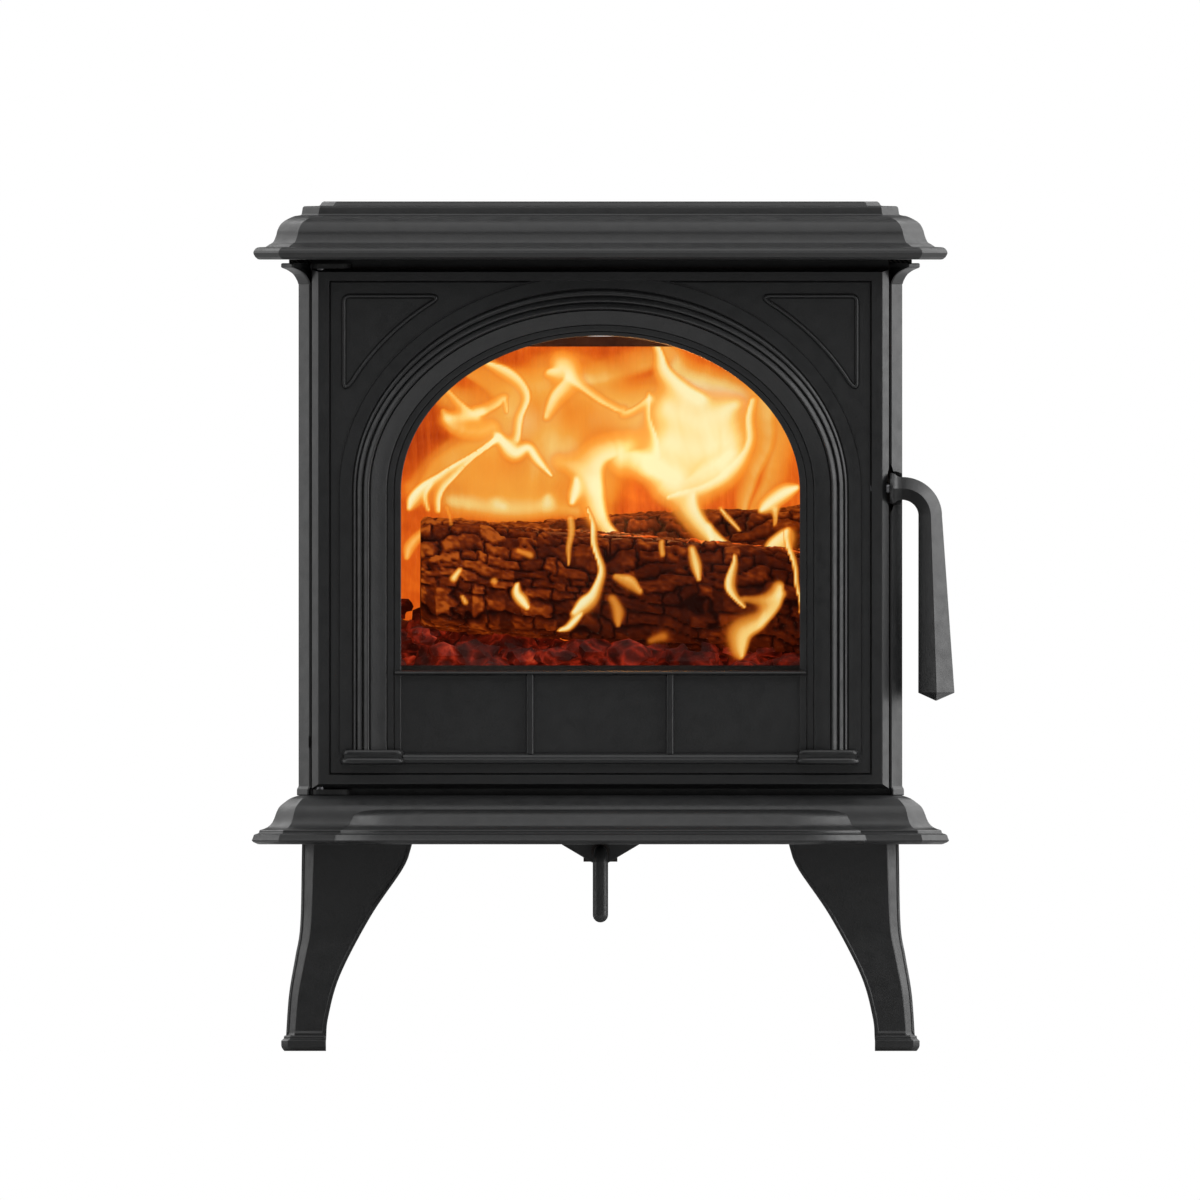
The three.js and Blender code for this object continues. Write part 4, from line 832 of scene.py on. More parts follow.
def arch_moulding():
    """The reeded moulding round the window, down to the plinth blocks."""
    rings = []
    for offset, height in MOULDING:
        rings += along_y(moulding_loop(offset, PANEL_FOOT + 1), [FIELD_Y - height])
    return Shell().rings(rings, caps=(False, False), around=False)


def long_bar(half, section):
    """A bar along X on the door's field, closed at its ends."""
    return Shell().rings([[(x, FIELD_Y + depth, z) for depth, z in section] for x in (-half, half)])


def plinth():
    """The right plinth block: two round-edged tiers with a bowed front."""
    inner, outer = 137.6, 184.6
    shell = Shell()
    for low, high, draw_in, bulge, deep in ((202.8, 207.5, 0.0, 2.0, 11.4), (208.2, 213.2, 1.6, 1.8, 9.6)):
        rings = []
        for i in range(13):
            turn = math.pi * i / 12
            inset = draw_in + bulge * (1 - math.sin(turn))
            z = low + (high - low) * (1 - math.cos(turn)) / 2
            middle, half = (inner + outer) / 2, (outer - inner) / 2 - inset
            ring = [(middle + half, FIELD_Y + 2, z)]
            for s in np.linspace(1, -1, 33):
                forward = (deep - inset) * (1 - abs(s) ** 7) ** 0.45 * (0.8 + 0.2 * (1 - s * s))
                ring.append((middle + half * s, FIELD_Y + 0.5 - forward, z))
            ring.append((middle - half, FIELD_Y + 2, z))
            rings.append(ring)
        shell.rings(rings)
    neck = box_shell((inner + 3, outer - 3), (FIELD_Y - 7.6, FIELD_Y + 2), (206, 210))
    return shell.join(neck)


CHANNEL_HALF = 1.95
# The bead in section: across, height above the channel's floor.
BEAD = [(-1.2, -0.2), (-1.15, 1.3), (-0.95, 1.9), (-0.5, 2.35), (0, 2.5), (0.5, 2.35), (0.95, 1.9),
        (1.15, 1.3), (1.2, -0.2)]


def corner_panel():
    """The outline of the right corner panel, with the outward direction at each point."""
    inset = 1.4
    grow = 56 + inset
    a, b = WINDOW["half"] + grow, WINDOW["rise"] + grow
    outer, top = 183 - inset, 536 - inset
    start = math.degrees(math.acos((outer - 3.2) / a))
    end = math.degrees(math.asin((top - 2.2 - WINDOW["spring"]) / b))
    long_side = arc((0, WINDOW["spring"]), (a, b), start, end, 40)
    corners = [
        (long_side[-3], (long_side[-1][0] - 3.6, top + 0.3), (long_side[-1][0] + 7, top)),
        ((outer - 4.5, top), (outer, top), (outer, top - 4.5)),
        ((outer, long_side[0][1] + 5), (outer + 0.6, long_side[0][1] - 3.6), long_side[2]),
    ]
    path = [*long_side[2:-3]]
    for p0, p1, p2 in corners:
        for i in range(9):
            t = i / 8
            near, mid, far = (1 - t) ** 2, 2 * t * (1 - t), t * t
            path.append(tuple(near * u + mid * v + far * w for u, v, w in zip(p0, p1, p2)))
    path = [Vector(p) for i, p in enumerate(path) if math.dist(p, path[i - 1]) > 0.05]
    outward = []
    for i, _ in enumerate(path):
        ahead = path[(i + 1) % len(path)] - path[i - 1]
        outward.append(Vector((-ahead.y, ahead.x)).normalized())
    return path, outward


def corner_outline(grow):
    """The corner panel's outline grown by an amount, without the loops that an inward move makes."""
    path, outward = corner_panel()
    moved = [p + out * grow for p, out in zip(path, outward)]
    return [tuple(p) for p in moved if min((p - q).length for q in path) > abs(grow) - 0.06]


def corner_bead():
    """A channel round the right corner panel with a round bead standing in it."""
    path, outward = corner_panel()
    floor = FIELD_Y + 1.2
    shell = Shell()
    for grow, level in ((CHANNEL_HALF, floor), (-CHANNEL_HALF, FIELD_Y)):
        edge = corner_outline(grow)
        shell.rings(along_y(edge, (FIELD_Y, floor)), caps=(False, False))
        shell.sheet([edge], front(level))
    rings = []
    for p, out in zip(path, outward):
        rings.append([(p.x + out.x * across, floor - high, p.y + out.y * across) for across, high in BEAD])
    rings.append(rings[0])
    return shell.rings(rings, caps=(False, False))


# The rail under the panels and the window sill in section: depth behind the door's field, height.
RAIL = [(1, 203.4), (-2.6, 203.5), (-3.3, 203.9), (-3.6, 204.6), (-3.4, 206.4), (-2.8, 207.2), (-1.8, 207.6),
        (-1.2, 208.0), (-0.9, 208.6), (-0.4, 209.2), (0.2, 209.9), (1, 210.5), (3, 210.7), (5, 210.7)]
SILL = [(9.4, 264.6), (1.2, 266.2), (-0.6, 266.6), (-1.7, 267.2), (-2.0, 267.9), (-1.6, 268.6),
        (-0.6, 269.1), (1, 269.3), (7.5, 269.3)]


def door():
    """The door casting: the slab with its mouldings, plinth blocks, corner beads, rail and sill."""
    slab = cut(door_slab(), notch_round_hub())
    slab.join(arch_moulding())
    for ornament in (plinth(), corner_bead()):
        slab.join(ornament).join(ornament.mirrored())
    slab.join(long_bar(140, RAIL))
    slab.join(long_bar(145.5, SILL))
    casting("door_casting", slab, "door", body="fire_door", smooth_angle=38)


def door_glass():
    """The pane, with its edges ground off."""
    y0, y1 = GLASS_LOW.y, GLASS_HIGH.y
    rings = []
    for offset, depth in ((7.4, y0), (8.0, y0 + 0.6), (8.0, y1 - 0.6), (7.4, y1)):
        rings += along_y(window_loop(offset), [depth])
    piece("door_window", Shell().rings(rings), "fire_door", GLASS, "glass", ["door_glass"])


def ropes():
    """The round rope that seals the door and the flat one under the top casting."""
    low, high = cad_box("door_rope_seal")
    radius, middle = (high.y - low.y) / 2, (low.y + high.y) / 2
    corners = rounded_rectangle(low.x + 5, high.x - 5, low.z + 5, high.z - 5, 14, 10)
    loop = [Vector((x, middle, z)) for x, z in corners]
    dense = []
    for i, p in enumerate(loop):
        q = loop[(i + 1) % len(loop)]
        parts = max(1, round((q - p).length / 4))
        dense += [p.lerp(q, k / parts) for k in range(parts)]
    dense.append(dense[0].copy())
    rope = tube(dense, [radius] * len(dense), 12)
    piece("door_seal_rope", rope, "fire_door", ROPE, "rope", ["door_rope_seal"], smooth_angle=60)
    reach = WALL_HIGH.x - 5.5
    near = cad_box("top_seal_rope")[0].y + 2
    far = BACK_Y - 1
    rings = []
    for grow, z in ((-0.3, WALL_HIGH.z), (0, WALL_HIGH.z + 0.2), (0, TOP_LOW.z - 0.2), (-0.3, TOP_LOW.z)):
        half, front_y, rear_y = reach + grow, near - grow, far + grow
        rings.append([(-half, front_y, z), (half, front_y, z), (half, rear_y, z), (-half, rear_y, z)])
    piece("top_joint_rope", Shell().rings(rings), "stove_body", ROPE, "rope", ["top_seal_rope"])


# ---- Handle ----
def handle():
    """A bar bent down at its hub: square on its corner, swelling towards the end of the grip."""
    bend_x, bend_z, ridge = 213.8, 378.7, 20.0

    def diamond(centre, along, outward, inward, deep):
        """A square on its corner, with its ridges pointing outward, inward, forward and back."""
        middle = Vector((centre[0], HANDLE_Y, centre[1]))
        out = Vector((along[0], 0, along[1]))
        side = Vector((0, deep, 0))
        return [middle + out * outward, middle - side, middle - out * inward, middle + side]

    rings = []
    for x, half in through([(207.2, 10.9), (208.6, 10.2), (210.2, 8.9), (212, 8.3), (213.8, 8.2)], 3):
        rings.append(diamond((x, HANDLE_Z), (0, 1), half, half, half))
    for i in range(1, 25):
        turn = math.pi / 2 * (1 - i / 24)
        c, s = math.cos(turn), math.sin(turn)
        centre = (bend_x + ridge * c, bend_z + (HANDLE_Z - bend_z) * s)
        rings.append(diamond(centre, (c, s), 8.2, 8.2 + 0.6 * i / 24, 8.6))
    grip_end, tip = 253.6, 248.0
    for i in range(1, 13):
        t = i / 12
        centre = (bend_x + ridge + 4.1 * t, bend_z + (grip_end - bend_z) * t)
        rings.append(diamond(centre, (1, 0), 8.2 + 4.7 * t, 8.8 + 4.2 * t, 8.6 + 4.4 * t))
    rings.append(diamond((237.6, tip), (1, 0), 0.4, 0.4, 0.4))
    bar = Shell().rings(rings)
    casting("handle_bar", bar, "door_handle", body="latch_handle", edge=0.9, smooth_angle=28)
    profile = [(0.01, 204.9), (10.2, 204.9), (10.9, 205.3), (11, 205.8), (11, 206.5), (10.8, 207.1),
               (10.2, 207.4), (0.01, 207.4)]
    hub = turned(profile, (0, HANDLE_Y, HANDLE_Z), "x", 64)
    casting("handle_hub", hub, body="latch_handle")


# ---- Air control ----
def air_control():
    """The rod, bent down into a round-ended grip, and the V-shaped bracket that it passes through."""
    low, high = cad_box("air_control_rod")
    grip_r, rod_r, bend = 5.45, 4.5, 8.0
    grip_y, rod_z = low.y + grip_r, 141.3
    path = [(high.y, rod_z), (high.y - 3, rod_z), (grip_y + bend + 4, rod_z)]
    path += arc((grip_y + bend, rod_z - bend), (bend, bend), 90, 180, 12)
    radii = [2.9, rod_r, rod_r] + [rod_r + (grip_r - rod_r) * i / 12 for i in range(13)]
    for i in range(9):
        turn = math.pi / 2 * i / 8
        path.append((grip_y, low.z + grip_r - grip_r * math.sin(turn)))
        radii.append(max(grip_r * math.cos(turn), 0.05))
    rod = tube([Vector((0, y, z)) for y, z in path], radii, 32)
    casting("air_rod", rod, "air_control_rod", body="air_control", smooth_angle=50)
    low, high = cad_box("air_rod_bracket")
    edge = [(27.5, high.z), (27.5, 146.2), (6.2, 133.6), (5.2, 133.2)]
    outline = [(-x, z) for x, z in edge] + list(reversed(edge))
    hole = arc((0, rod_z), (6.4, 6.4), 0, 360, 40)[:-1]
    shell = Shell()
    for y in (low.y, high.y):
        shell.sheet([outline, hole], front(y))
    for loop in (outline, hole):
        shell.rings(along_y(loop, (low.y, high.y)), caps=(False, False))
    casting("air_bracket", shell, "air_rod_bracket", edge=0.4)


# ---- Flue collar ----
def flue_collar():
    """A bolted flange that runs into a short plain pipe."""
    low, high = cad_box("flue_collar")
    centre = (low + high) / 2
    y0, y1 = low.y, high.y
    flange = (high.x - low.x) / 2
    bore = 55.5
    profile = [(bore, y0), (flange - 0.8, y0), (flange, y0 + 0.8), (flange, y0 + 6.7),
               (flange - 0.8, y0 + 7.7), (67, y0 + 7.7), (64.2, y0 + 8.3), (62.9, y0 + 9.8), (62.5, y0 + 12),
               (62.5, y1 - 0.8), (61.9, y1), (bore + 0.6, y1), (bore, y1 - 0.6), (bore, y0)]
    casting("rear_flue_collar", turned(profile, centre, "y"), "flue_collar", smooth_angle=40)


# ---- Firebox ----
def rear_brick():
    """The rear brick with narrow upright reeds on its face."""
    low, high = cad_box("rear_fire_brick")
    reeds = 72
    pitch = (high.x - low.x) / reeds
    section = []
    for i in range(reeds):
        start = low.x + i * pitch
        for share, depth in ((0.06, 1.2), (0.2, 0.35), (0.5, 0.0), (0.8, 0.35), (0.94, 1.2)):
            section.append((start + pitch * share, low.y + depth))
    section += [(high.x, high.y), (low.x, high.y)]
    rings = [[(x, y, z) for x, y in section] for z in (low.z, cad_box("baffle_plate")[0].z)]
    made = piece("rear_reeded_brick", Shell().rings(rings), "stove_body", REAR_BRICK, "fire_brick",
                 ["rear_fire_brick"], smooth_angle=50)
    # Painted fire light: the front face gets the strongly glowing board, the other faces the faintly glowing
    # one as painted shade.
    made.data.materials.append(FAINT_GLOW_BRICK)
    for face in made.data.polygons:
        face.material_index = 0 if face.center.y < (low.y + 3) * MM else 1


# Usual size of a block of char, across and along the grain.
ROW_HEIGHT, BLOCK_LENGTH = 7.4, 11.5


def char_blocks(along, around, seed):
    """How deep a point of a log lies below its surface, and how light its char is (0..1); that lightness
    also scales the painted fire light, so cracks and sunk blocks get painted shade.

    The char is split along the grain into rows, and each row across the grain into blocks.
    """
    drift = 11.0 * noise.noise(Vector((along * 0.5, around, seed)) * 0.045)
    drift += 1.6 * noise.noise(Vector((along, around, seed + 4)) * 0.14)
    rows = (around + drift) / ROW_HEIGHT
    row = math.floor(rows)
    shift = noise.cell(Vector((row * 1.7, seed, 0.5)))
    drift = 9.0 * noise.noise(Vector((along * 0.05, row * 3.1, seed + 7)))
    blocks = (along + drift) / BLOCK_LENGTH + shift * 4
    blocks += 0.25 * noise.noise(Vector((along * 0.1, around * 0.3, seed + 3)))
    block = math.floor(blocks)
    edge_row = min(rows - row, 1 - rows + row) * ROW_HEIGHT
    joined = noise.cell(Vector((row * 2.3, round(blocks) * 1.9, seed))) < 0.05
    edge_block = 5.0 if joined else min(blocks - block, 1 - blocks + block) * BLOCK_LENGTH
    fine = noise.noise(Vector((along * 0.25, around * 0.9, seed + 9)))
    open_row = 1.2 + 0.9 * noise.noise(Vector((along * 0.04, row * 2.7, seed)))
    crack = max(1 - edge_row / (open_row + 0.5 * fine), 1 - edge_block / (1.7 + 0.8 * fine), 0)
    rise = 0.5 + 0.5 * noise.cell(Vector((row * 1.3, block * 2.1, seed)))
    depth = 3.6 * crack ** 1.2 + 2.4 * rise + 0.6 * fine
    return depth, (1 - crack) ** 1.5 * (0.75 + 0.6 * fine) * (0.35 + 0.65 * (1 - rise))


def log(name, node, start, end, radii, seed, burning):
    """A charred split log along X: blocks of char between cracks, a burning edge along its top, and painted
    fire light over it.

    burning gives the strength of that edge for a place along the log (0..1).
    """
    stations, sides = 230, 150
    squareness = 4.5
    start, end = Vector(start), Vector(end)
    length = (end - start).length
    rings, crowns, embers, lights = [], [], [], []
    for i in range(stations + 1):
        t = i / stations
        centre = start.lerp(end, t)
        ring = []
        close = min(t, 1 - t) * length
        taper = 1 - 0.10 * max(0.0, 1 - close / 7) ** 2
        for k in range(sides):
            turn = 2 * math.pi * k / sides
            c, s = math.cos(turn), math.sin(turn)
            boxy = (abs(c) ** squareness + abs(s) ** squareness) ** (-1 / squareness)
            wander = 1 + 0.07 * noise.noise(Vector((t * 4, c * 1.3, s * 1.3 + seed)))
            along = t * length
            around = turn * (radii[0] + radii[1]) / 2
            depth, crown = char_blocks(along, around, seed)
            rough = 1.1 * noise.fractal(Vector((along, around, seed)) * 0.16, 1.0, 2.0, 4)
            out = boxy * wander * taper
            y = c * (radii[0] * out - depth + rough)
            z = s * (radii[1] * out - depth + rough)
            x = 1.2 * noise.noise(Vector((c * 2, s * 2, t * 30)))
            ring.append((centre.x + x, centre.y + y, centre.z + z))
            crowns.append(crown)
            rim = max(0.0, 1 - abs(s - 0.93) / 0.05) if c < 0.35 else 0.0
            embers.append(rim * burning(t))
            # Painted fire light: brighter towards the left end and on the top, with painted shade
            # underneath.
            lit_top = 0.45 * max(0.0, s) ** 2 - 0.45 * max(0.0, -s - 0.2)
            lights.append(0.62 + 0.75 * max(0.0, 1 - t * 2.2) + lit_top)
        rings.append(ring)
    shell = Shell().rings(rings)
    made = piece(name, shell, "stove_body", CHAR, "log", [node], smooth_angle=60)
    for label, values in (("crown", crowns), ("ember", embers), ("fire_light", lights)):
        layer = made.data.attributes.new(label, "FLOAT", "POINT")
        layer.data.foreach_set("value", np.array(values[:len(made.data.vertices)], np.float32))


def ember_bed():
    """A heap of coals of many sizes, over the CAD bed."""
    low, high = cad_box("ember_bed")
    rng = random.Random(7)
    coals = 420
    shell = box_shell((low.x, high.x), (low.y, high.y), (low.z, low.z + 14))
    ball = bmesh.new()
    bmesh.ops.create_icosphere(ball, subdivisions=2, radius=1)
    base = [v.co.copy() for v in ball.verts]
    faces = [[v.index for v in f.verts] for f in ball.faces]
    ball.free()
    for i in range(coals):
        size = rng.uniform(6, 13)
        depth = rng.uniform(0, 1)
        x = rng.uniform(low.x + 10, high.x - 10)
        top = high.z + 2 + 24 * min(1.0, depth * 1.6) + 14 * min(max((-105 - x) / 20, 0), 1)
        centre = Vector((x, low.y + 4 + depth * (high.y - low.y - 12), rng.uniform(low.z + 14, top)))
        stretch = Vector((rng.uniform(0.8, 1.7), rng.uniform(0.7, 1.2), rng.uniform(0.6, 1.0)))
        turn = rng.uniform(0, math.pi)
        verts = []
        for p in base:
            bump = 1 + 0.34 * noise.cell(p * 2.1 + Vector((i, 0, 0)))
            bump += 0.2 * noise.noise(p * 2 + Vector((0, i, 0)))
            q = p * stretch * size * bump
            x = q.x * math.cos(turn) - q.y * math.sin(turn)
            y = q.x * math.sin(turn) + q.y * math.cos(turn)
            verts.append((min(max(centre.x + x, low.x), high.x), min(max(centre.y + y, low.y - 8), high.y),
                          max(centre.z + q.z, low.z)))
        shell.add(verts, faces)
    piece("ember_heap", shell, "stove_body", COALS, "embers", ["ember_bed"], smooth_angle=24)


# Flames, as strokes of fire. Each has a heat, a lean and points of (x, height over the sill, radius).
# A lean of 1 keeps the right-hand edge of the stroke crisp and lets the left one fade, -1 the reverse.
FLAMES_VEIL = [
    (0.80, 0, [(47, 188, 16), (70, 182, 24), (98, 190, 14)]),
    (0.85, 0, [(60, 163, 26), (88, 166, 25)]),
    (0.70, 0, [(58, 140, 14), (74, 146, 14)]),
    (0.70, 0, [(44, 230, 5), (60, 206, 11), (84, 198, 13)]),
    (0.50, 0, [(-43, 211, 14), (-18, 209, 18), (15, 194, 19), (33, 180, 18)]),
    (0.50, 0, [(-40, 182, 24), (-22, 160, 22), (-3, 176, 22), (20, 176, 18)]),
    (0.50, 1, [(-84, 222, 8), (-62, 206, 13), (-54, 182, 13)]),
    (0.50, 0, [(-110, 193, 11), (-87, 183, 15), (-69, 172, 14), (-45, 170, 16)]),
    (0.50, 0, [(-100, 143, 13), (-69, 130, 17), (-40, 122, 17), (-20, 124, 12)]),
    (0.44, 0, [(-134, 130, 8), (-120, 140, 10), (-100, 156, 12), (-80, 160, 12)]),
    (0.50, 0, [(29, 154, 14), (7, 146, 14), (-2, 124, 13), (2, 104, 9)]),
    (0.50, -1, [(118, 196, 9), (127, 165, 10), (114, 130, 9), (104, 104, 5)]),
]
FLAMES_BACK = [
    (0.46, 0, [(-104, 122, 18.9), (-73, 130, 20.9), (-45, 138, 21.9), (-29, 156, 20.9)]),
    (0.42, 0, [(-37, 158, 18.9), (-17, 148, 18.9), (1, 130, 15.9)]),
    (0.52, 0, [(-53, 203, 11.9), (-21, 199, 13.9), (13, 192, 13.9), (35, 190, 11.9)]),
    (0.5, 1, [(-13, 204, 5.2), (3, 208, 7.9), (19, 213, 9.9), (43, 218, 8.7)]),
    (0.5, 0, [(-108, 176, 7.9), (-90, 174, 10.9), (-71, 178, 11.9)]),
    (0.42, -1, [(-128, 130, 6), (-106, 152, 9.9), (-81, 164, 11.9)]),
    (0.6, 1, [(108, 211, 5.2), (117, 195, 8.3), (121, 174, 9.1), (118, 154, 8.3), (107, 138, 6.8),
     (105, 120, 4.4), (101, 99, 2)]),
    (0.55, 0, [(-104, 118, 4.4), (-69, 116, 6.4), (-37, 114, 6.8), (-17, 112, 5.6)]),
    (0.55, 0, [(-71, 120, 3.6), (-67, 118, 2.8)]),
    (0.62, 0, [(-37, 121, 2.8), (-36, 118, 4.4)]),
    (0.5, 0, [(45, 176, 16.9), (66, 172, 18.9), (86, 176, 13.9)]),
    (0.5, 0, [(19, 170, 11.9), (15, 154, 11.9)]),
    (0.45, -1, [(-96, 211, 4), (-77, 201, 8.7), (-63, 186, 9.9)]),
]
FLAMES_MIDDLE = [
    (0.88, 0, [(49, 184, 11.9), (66, 176, 14.3), (85, 182, 12.7), (95, 189, 6)]),
    (0.9, 0, [(47, 160, 13.9), (66, 156, 17.1), (87, 162, 15.1)]),
    (0.9, -1, [(40, 141, 8.3), (59, 133, 10.7), (74, 142, 9.9), (90, 154, 6)]),
    (0.93, 1, [(50, 136, 7.9), (36, 149, 8.3), (19, 155, 8.3), (4, 151, 8.3), (-3, 137, 8.3),
     (-1, 121, 6.8), (3, 106, 4.8), (16, 95, 1.8)]),
    (1, 0, [(-75, 168, 2), (-69, 162, 4.4), (-61, 156, 5.2), (-52, 158, 3.2), (-45, 149, 2.8),
     (-37, 137, 1.2)]),
    (0.9, 1, [(-82, 220, 1.6), (-67, 215, 3.2), (-56, 206, 3), (-51, 193, 2.4), (-54, 178, 2.6),
     (-59, 165, 2.4)]),
    (0.85, -1, [(-37, 211, 2.8), (-27, 212, 6.8), (-25, 205, 5.2), (-35, 193, 4.8), (-37, 179, 2.4)]),
    (0.78, -1, [(-23, 205, 3.2), (-9, 195, 3), (3, 189, 2.4), (17, 185, 2.4), (34, 193, 2.4)]),
    (1, 1, [(40, 229, 2), (46, 215, 3.6), (55, 205, 5.2), (64, 197, 7.5), (72, 193, 6)]),
    (0.8, 1, [(35, 195, 1.4), (34, 182, 1.4), (37, 166, 1.6), (42, 151, 1.4)]),
    (1, -1, [(-137, 116, 1.6), (-134, 124, 4.4), (-126, 131, 3.6), (-112, 138, 2.2), (-96, 149, 1.6),
     (-83, 161, 1.6), (-74, 168, 2)]),
    (0.8, 0, [(-123, 113, 1.4), (-124, 124, 1.6), (-120, 131, 1.4)]),
    (0.92, 1, [(-115, 112, 1.8), (-111, 126, 2.6), (-100, 138, 1.8), (-87, 153, 1.4), (-76, 164, 1.4)]),
    (0.62, 0, [(-83, 184, 2.8), (-96, 179, 4), (-109, 177, 2.8)]),
    (0.7, 1, [(-107, 197, 2), (-98, 188, 2.8), (-86, 182, 3.2), (-72, 189, 3.2), (-67, 194, 1.8),
     (-64, 185, 1.2)]),
    (0.6, 0, [(-112, 182, 2), (-104, 171, 5.6), (-90, 169, 6), (-76, 174, 5.2)]),
    (1, 0, [(-19, 134, 1.8), (-19, 126, 3.6), (-20, 118, 2)]),
    (0.95, 1, [(68, 123, 2.4), (69, 112, 6.4), (73, 104, 6), (82, 96, 4.8), (93, 89, 2)]),
    (0.95, 0, [(76, 102, 2), (80, 88, 1)]),
    (0.8, 0, [(87, 116, 1), (91, 110, 1.4), (99, 101, 0.8)]),
    (0.95, 0, [(137, 128, 2), (128, 124, 5.2), (120, 118, 4.8), (115, 114, 2)]),
    (0.65, 0, [(124, 113, 1.8), (124, 102, 0.8)]),
    (0.85, -1, [(132, 97, 2.4), (128, 93, 6), (122, 88, 5.2), (118, 83, 1.6)]),
    (0.62, 0, [(-123, 101, 3.2), (-132, 90, 4), (-136, 81, 1.8)]),
    (0.55, 0, [(-29, 146, 6), (-17, 142, 6.8), (-7, 130, 4.8)]),
    (0.85, -1, [(106, 192, 2), (106, 174, 2.4), (102, 158, 2.4), (89, 144, 2.4), (72, 130, 2),
     (50, 122, 1)]),
]
FLAMES_FRONT = [
    (1, -1, [(-10, 114, 1.2), (-5, 98, 1.8), (-2, 82, 2), (-1, 69, 2.4), (-7, 56, 3), (-15, 48, 4.4),
     (-19, 41, 2.8)]),
    (0.95, 0, [(-14, 39, 1.2), (-17, 34, 2.4), (-21, 29, 2), (-27, 27, 1)]),
    (0.62, 0, [(-21, 106, 2.4), (-19, 94, 2.2), (-22, 82, 1.6), (-24, 74, 0.8)]),
    (1, 0, [(-58, 62, 1.4), (-58, 56, 2.8), (-55, 51, 3.4), (-51, 45, 1.6)]),
    (0.8, 0, [(-99, 70, 1.6), (-102, 64, 2.4)]),
    (0.7, 0, [(-97, 51, 1.6), (-96, 48, 2)]),
    (0.5, 0, [(-74, 65, 2.2), (-73, 64, 1.8)]),
    (0.62, 1, [(12, 69, 2.2), (23, 66, 4.4), (29, 58, 2.4)]),
    (0.52, 0, [(7, 52, 3.6), (11, 42, 4), (13, 34, 1.6)]),
    (0.8, 0, [(64, 85, 2.4), (66, 75, 3.2), (71, 64, 1.2)]),
    (0.9, -1, [(93, 83, 1.2), (90, 71, 2.6), (91, 60, 2.8), (96, 52, 1.8), (102, 46, 0.8)]),
    (0.8, 1, [(127, 57, 3.6), (123, 43, 5.6), (116, 33, 6), (105, 27, 7.2), (100, 19, 6.4),
     (99, 12, 2.4)]),
    (0.45, 0, [(102, 52, 2.4), (117, 50, 4), (128, 53, 2.8)]),
    (0.6, 0, [(43, 90, 1.6), (44, 81, 1.6)]),
    (0.4, 0, [(-59, 86, 2), (-51, 82, 2.8)]),
    (0.9, -1, [(132, 97, 2), (135, 82, 1.8), (137, 66, 1.4), (139, 50, 1.4), (140, 40, 0.8)]),
    (0.45, 0, [(-109, 114, 2), (-108, 102, 1.2)]),
    (0.35, 0, [(43, 23, 4.4), (35, 21, 3.2)]),
]


def fire_field(strokes, xs, zs, spread):
    """How hot each point of a grid is; overlapping strokes add up like light."""
    grid_x, grid_z = np.meshgrid(xs, zs)
    bent_x = grid_x + 1.5 * np.sin(grid_z / 11 + grid_x / 23) + 0.8 * np.sin(grid_z / 4.7 + 1.3)
    bent_z = grid_z + 1.6 * np.sin(grid_x / 13 + 0.6)
    heat = np.zeros_like(grid_x)
    for warmth, lean, points in strokes:
        path = np.array([tuple(p) for p in through(points, 12)])
        ahead = np.gradient(path[:, :2], axis=0)
        ahead /= np.maximum(np.hypot(ahead[:, 0], ahead[:, 1]), 1e-6)[:, None]
        nearest = np.full_like(grid_x, 9.0)
        for (x, z, radius), (along_x, along_z) in zip(path, ahead):
            off_x, off_z = bent_x - x, bent_z - z
            distance = np.hypot(off_x, off_z) + 1e-6
            side = (off_x * along_z - off_z * along_x) / distance * math.copysign(1, along_z)
            reach = spread * radius * (1.5 - 0.8 * lean * side)
            nearest = np.minimum(nearest, distance / reach)
        glow = np.exp(-2.2 * nearest**2) - 0.03
        heat = 1 - (1 - heat) * (1 - warmth * np.clip(glow, 0, 1))
    return heat


def flame_sheet(name, strokes, y, strength, spread):
    """A thin, gently waving sheet of fire; its heat fades to nothing at the edge of each stroke."""
    step = 1.5
    xs = np.arange(-145.5, 146, step)
    zs = np.arange(1.5, 236, step)
    heat = fire_field(strokes, xs, zs, spread)
    keep = heat > 0.01
    shell = Shell()
    columns = len(xs)
    for row, z in enumerate(zs):
        for column, x in enumerate(xs):
            sway = 7 * noise.noise(Vector((x * 0.018, z * 0.02, y)))
            puff = 6 * float(heat[row, column])
            shell.verts.append((x, y + sway - puff, WINDOW["bottom"] + z))
    for row in range(len(zs) - 1):
        for column in range(columns - 1):
            if keep[row:row + 2, column:column + 2].any():
                a = row * columns + column
                shell.faces.append((a, a + 1, a + 1 + columns, a + columns))
    made = mesh_object(name, shell, 180)
    layer = made.data.attributes.new("fire_heat", "FLOAT", "POINT")
    layer.data.foreach_set("value", heat.astype(np.float32).ravel())
    bm = bmesh.new()
    bm.from_mesh(made.data)
    bmesh.ops.delete(bm, geom=[v for v in bm.verts if not v.link_faces], context="VERTS")
    bm.to_mesh(made.data)
    bm.free()
    made.visible_glossy = False
    made.data.materials.append(flame(name, strength))
    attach(made, "stove_body")


def firebox():
    """The rear brick, two logs, the coals, and four sheets of fire from back to front."""
    rear_brick()
    log("front_charred_log", "front_log", (-127, -34, 338), (150, -34, 315), (32, 40), 1.7,
        lambda t: min(max((t - 0.3) / 0.2, 0), 1))
    log("rear_charred_log", "rear_log", (-118, 48, 336), (160, 48, 352), (34, 36), 5.2, lambda t: 0.4)
    ember_bed()
    flame_sheet("flames_veil", FLAMES_VEIL, 88.0, 1.0, 1.1)
    flame_sheet("flames_behind", FLAMES_BACK, 76.0, 1.0, 1.2)
    flame_sheet("flames_between", FLAMES_MIDDLE, 4.0, 1.1, 1.25)
    flame_sheet("flames_in_front", FLAMES_FRONT, -76.0, 1.05, 1.1)


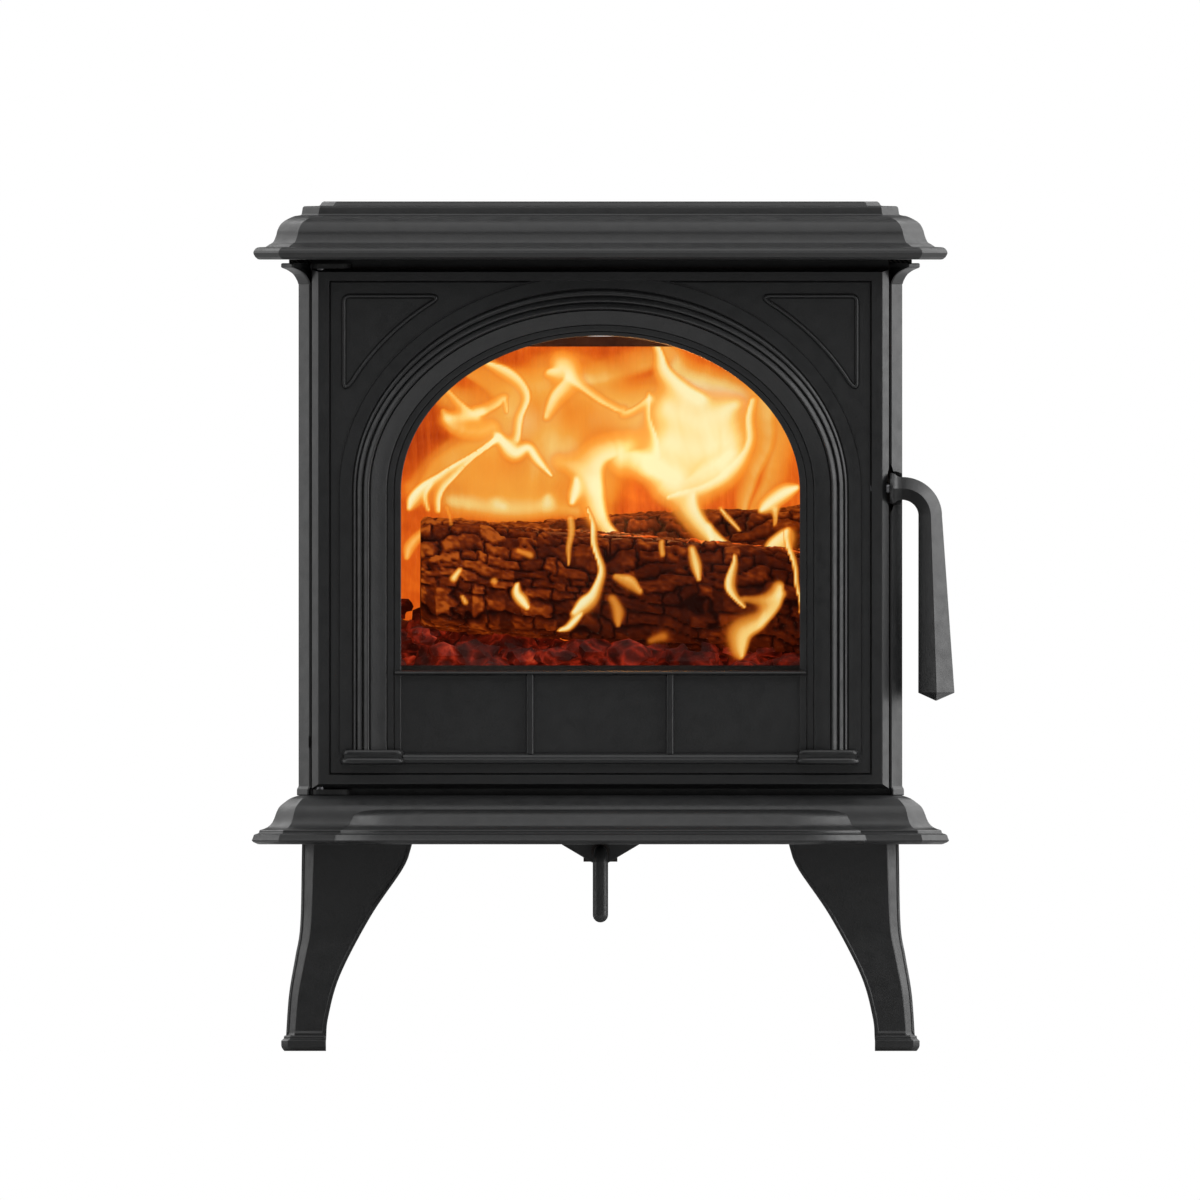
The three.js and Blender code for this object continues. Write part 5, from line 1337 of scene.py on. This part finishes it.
# ---- CAD nodes that keep their shape ----
def finish_cad_nodes():
    """Gives the CAD nodes that are still shown their finish and a fine rounding of their edges."""
    finishes = {"painted_iron": IRON, "raw_iron": RAW_IRON, "steel": STEEL, "rope": ROPE,
                "fire_brick": BRICK, "log": CHAR, "embers": COALS, "glass": GLASS}
    for part in frame["record"]["subparts"]:
        node = frame["nodes"][part["node"]]
        if node.hide_render:
            continue
        node.data.materials.clear()
        finish = finishes[part["material_slot"]]
        # Painted shade: the baffle gets the faintly glowing copy of the brick.
        if part["node"].startswith("baffle"):
            finish = FAINT_GLOW_BRICK
        # Painted shade: the hinge brackets get the near-black copy of the iron.
        if "hinge_bracket" in part["node"]:
            finish = SHADED_HINGE_IRON
        node.data.materials.append(finish)
        round_edges(node, 0.25, 40)


# ---- Studio ----
def light(kind, name, place, power):
    """A light; places and sizes of lights are in metres."""
    data = bpy.data.lights.new(name, kind)
    data.energy = power
    lamp = bpy.data.objects.new(name, data)
    lamp.location = place
    bpy.context.scene.collection.objects.link(lamp)
    return lamp


def softbox(name, place, size, power):
    """A rectangular light that looks at the middle of the stove."""
    lamp = light("AREA", name, place, power)
    lamp.data.shape = "RECTANGLE"
    lamp.data.size, lamp.data.size_y = size
    lamp.rotation_euler = (Vector((0, 0, 0.32)) - lamp.location).to_track_quat("-Z", "Y").to_euler()


def fire_glow(name, place, radius, power):
    """Orange light from inside the fire."""
    lamp = light("POINT", name, place, power)
    lamp.data.shadow_soft_size = radius
    lamp.data.color = (1.0, 0.42, 0.12)
    lamp.visible_camera = False


def studio():
    """A round pale floor, soft lights, and a white world that only the camera sees."""
    floor = Shell()
    floor.add([(x, y, 0) for x, y in arc((0, 0), (9000, 9000), 0, 360, 64)[:-1]], [tuple(range(64))])
    ground = mesh_object("studio_floor", floor)
    ground.data.materials.append(studio_floor())
    softbox("left_softbox", (-1.8, -0.1, 0.9), (1.5, 2.2), 25)
    softbox("right_softbox", (1.8, -0.3, 0.9), (1.5, 2.2), 52)
    softbox("left_rear_softbox", (-1.5, 1.3, 1.9), (2.0, 2.0), 40)
    softbox("right_rear_softbox", (1.5, 1.3, 1.9), (2.0, 2.0), 40)
    softbox("overhead_softbox", (0, -0.9, 2.3), (3.0, 2.8), 48)
    softbox("front_fill", (0, -3.0, 1.1), (3.0, 1.6), 3)
    fire_glow("fire_glow_low", (0.02, -0.02, 0.39), 0.012, 0.35)
    fire_glow("fire_glow_high", (0.02, 0.0, 0.43), 0.03, 1.0)
    world = bpy.data.worlds.new("studio")
    world.use_nodes = True
    backdrop = world.node_tree.nodes["Background"]
    backdrop.inputs["Color"].default_value = (1, 1, 1, 1)
    backdrop.inputs["Strength"].default_value = 1.0
    for ray in ("diffuse", "glossy", "transmission"):
        setattr(world.cycles_visibility, ray, False)
    bpy.context.scene.world = world
    bpy.context.scene.view_settings.view_transform = "Standard"


def camera():
    """Straight on at the front, as from far away, with the photograph's margins."""
    data = bpy.data.cameras.new("camera")
    data.type = "ORTHO"
    data.ortho_scale = 0.8496
    shot = bpy.data.objects.new("camera", data)
    shot.location = (-0.0003, -3.0, 0.3193)
    shot.rotation_euler = (math.pi / 2, 0, 0)
    bpy.context.scene.collection.objects.link(shot)
    bpy.context.scene.camera = shot


camera()
studio()
top_plate()
outlet_cover()
base_plate()
side_walls()
legs()
door()
door_glass()
ropes()
handle()
air_control()
flue_collar()
firebox()
finish_cad_nodes()
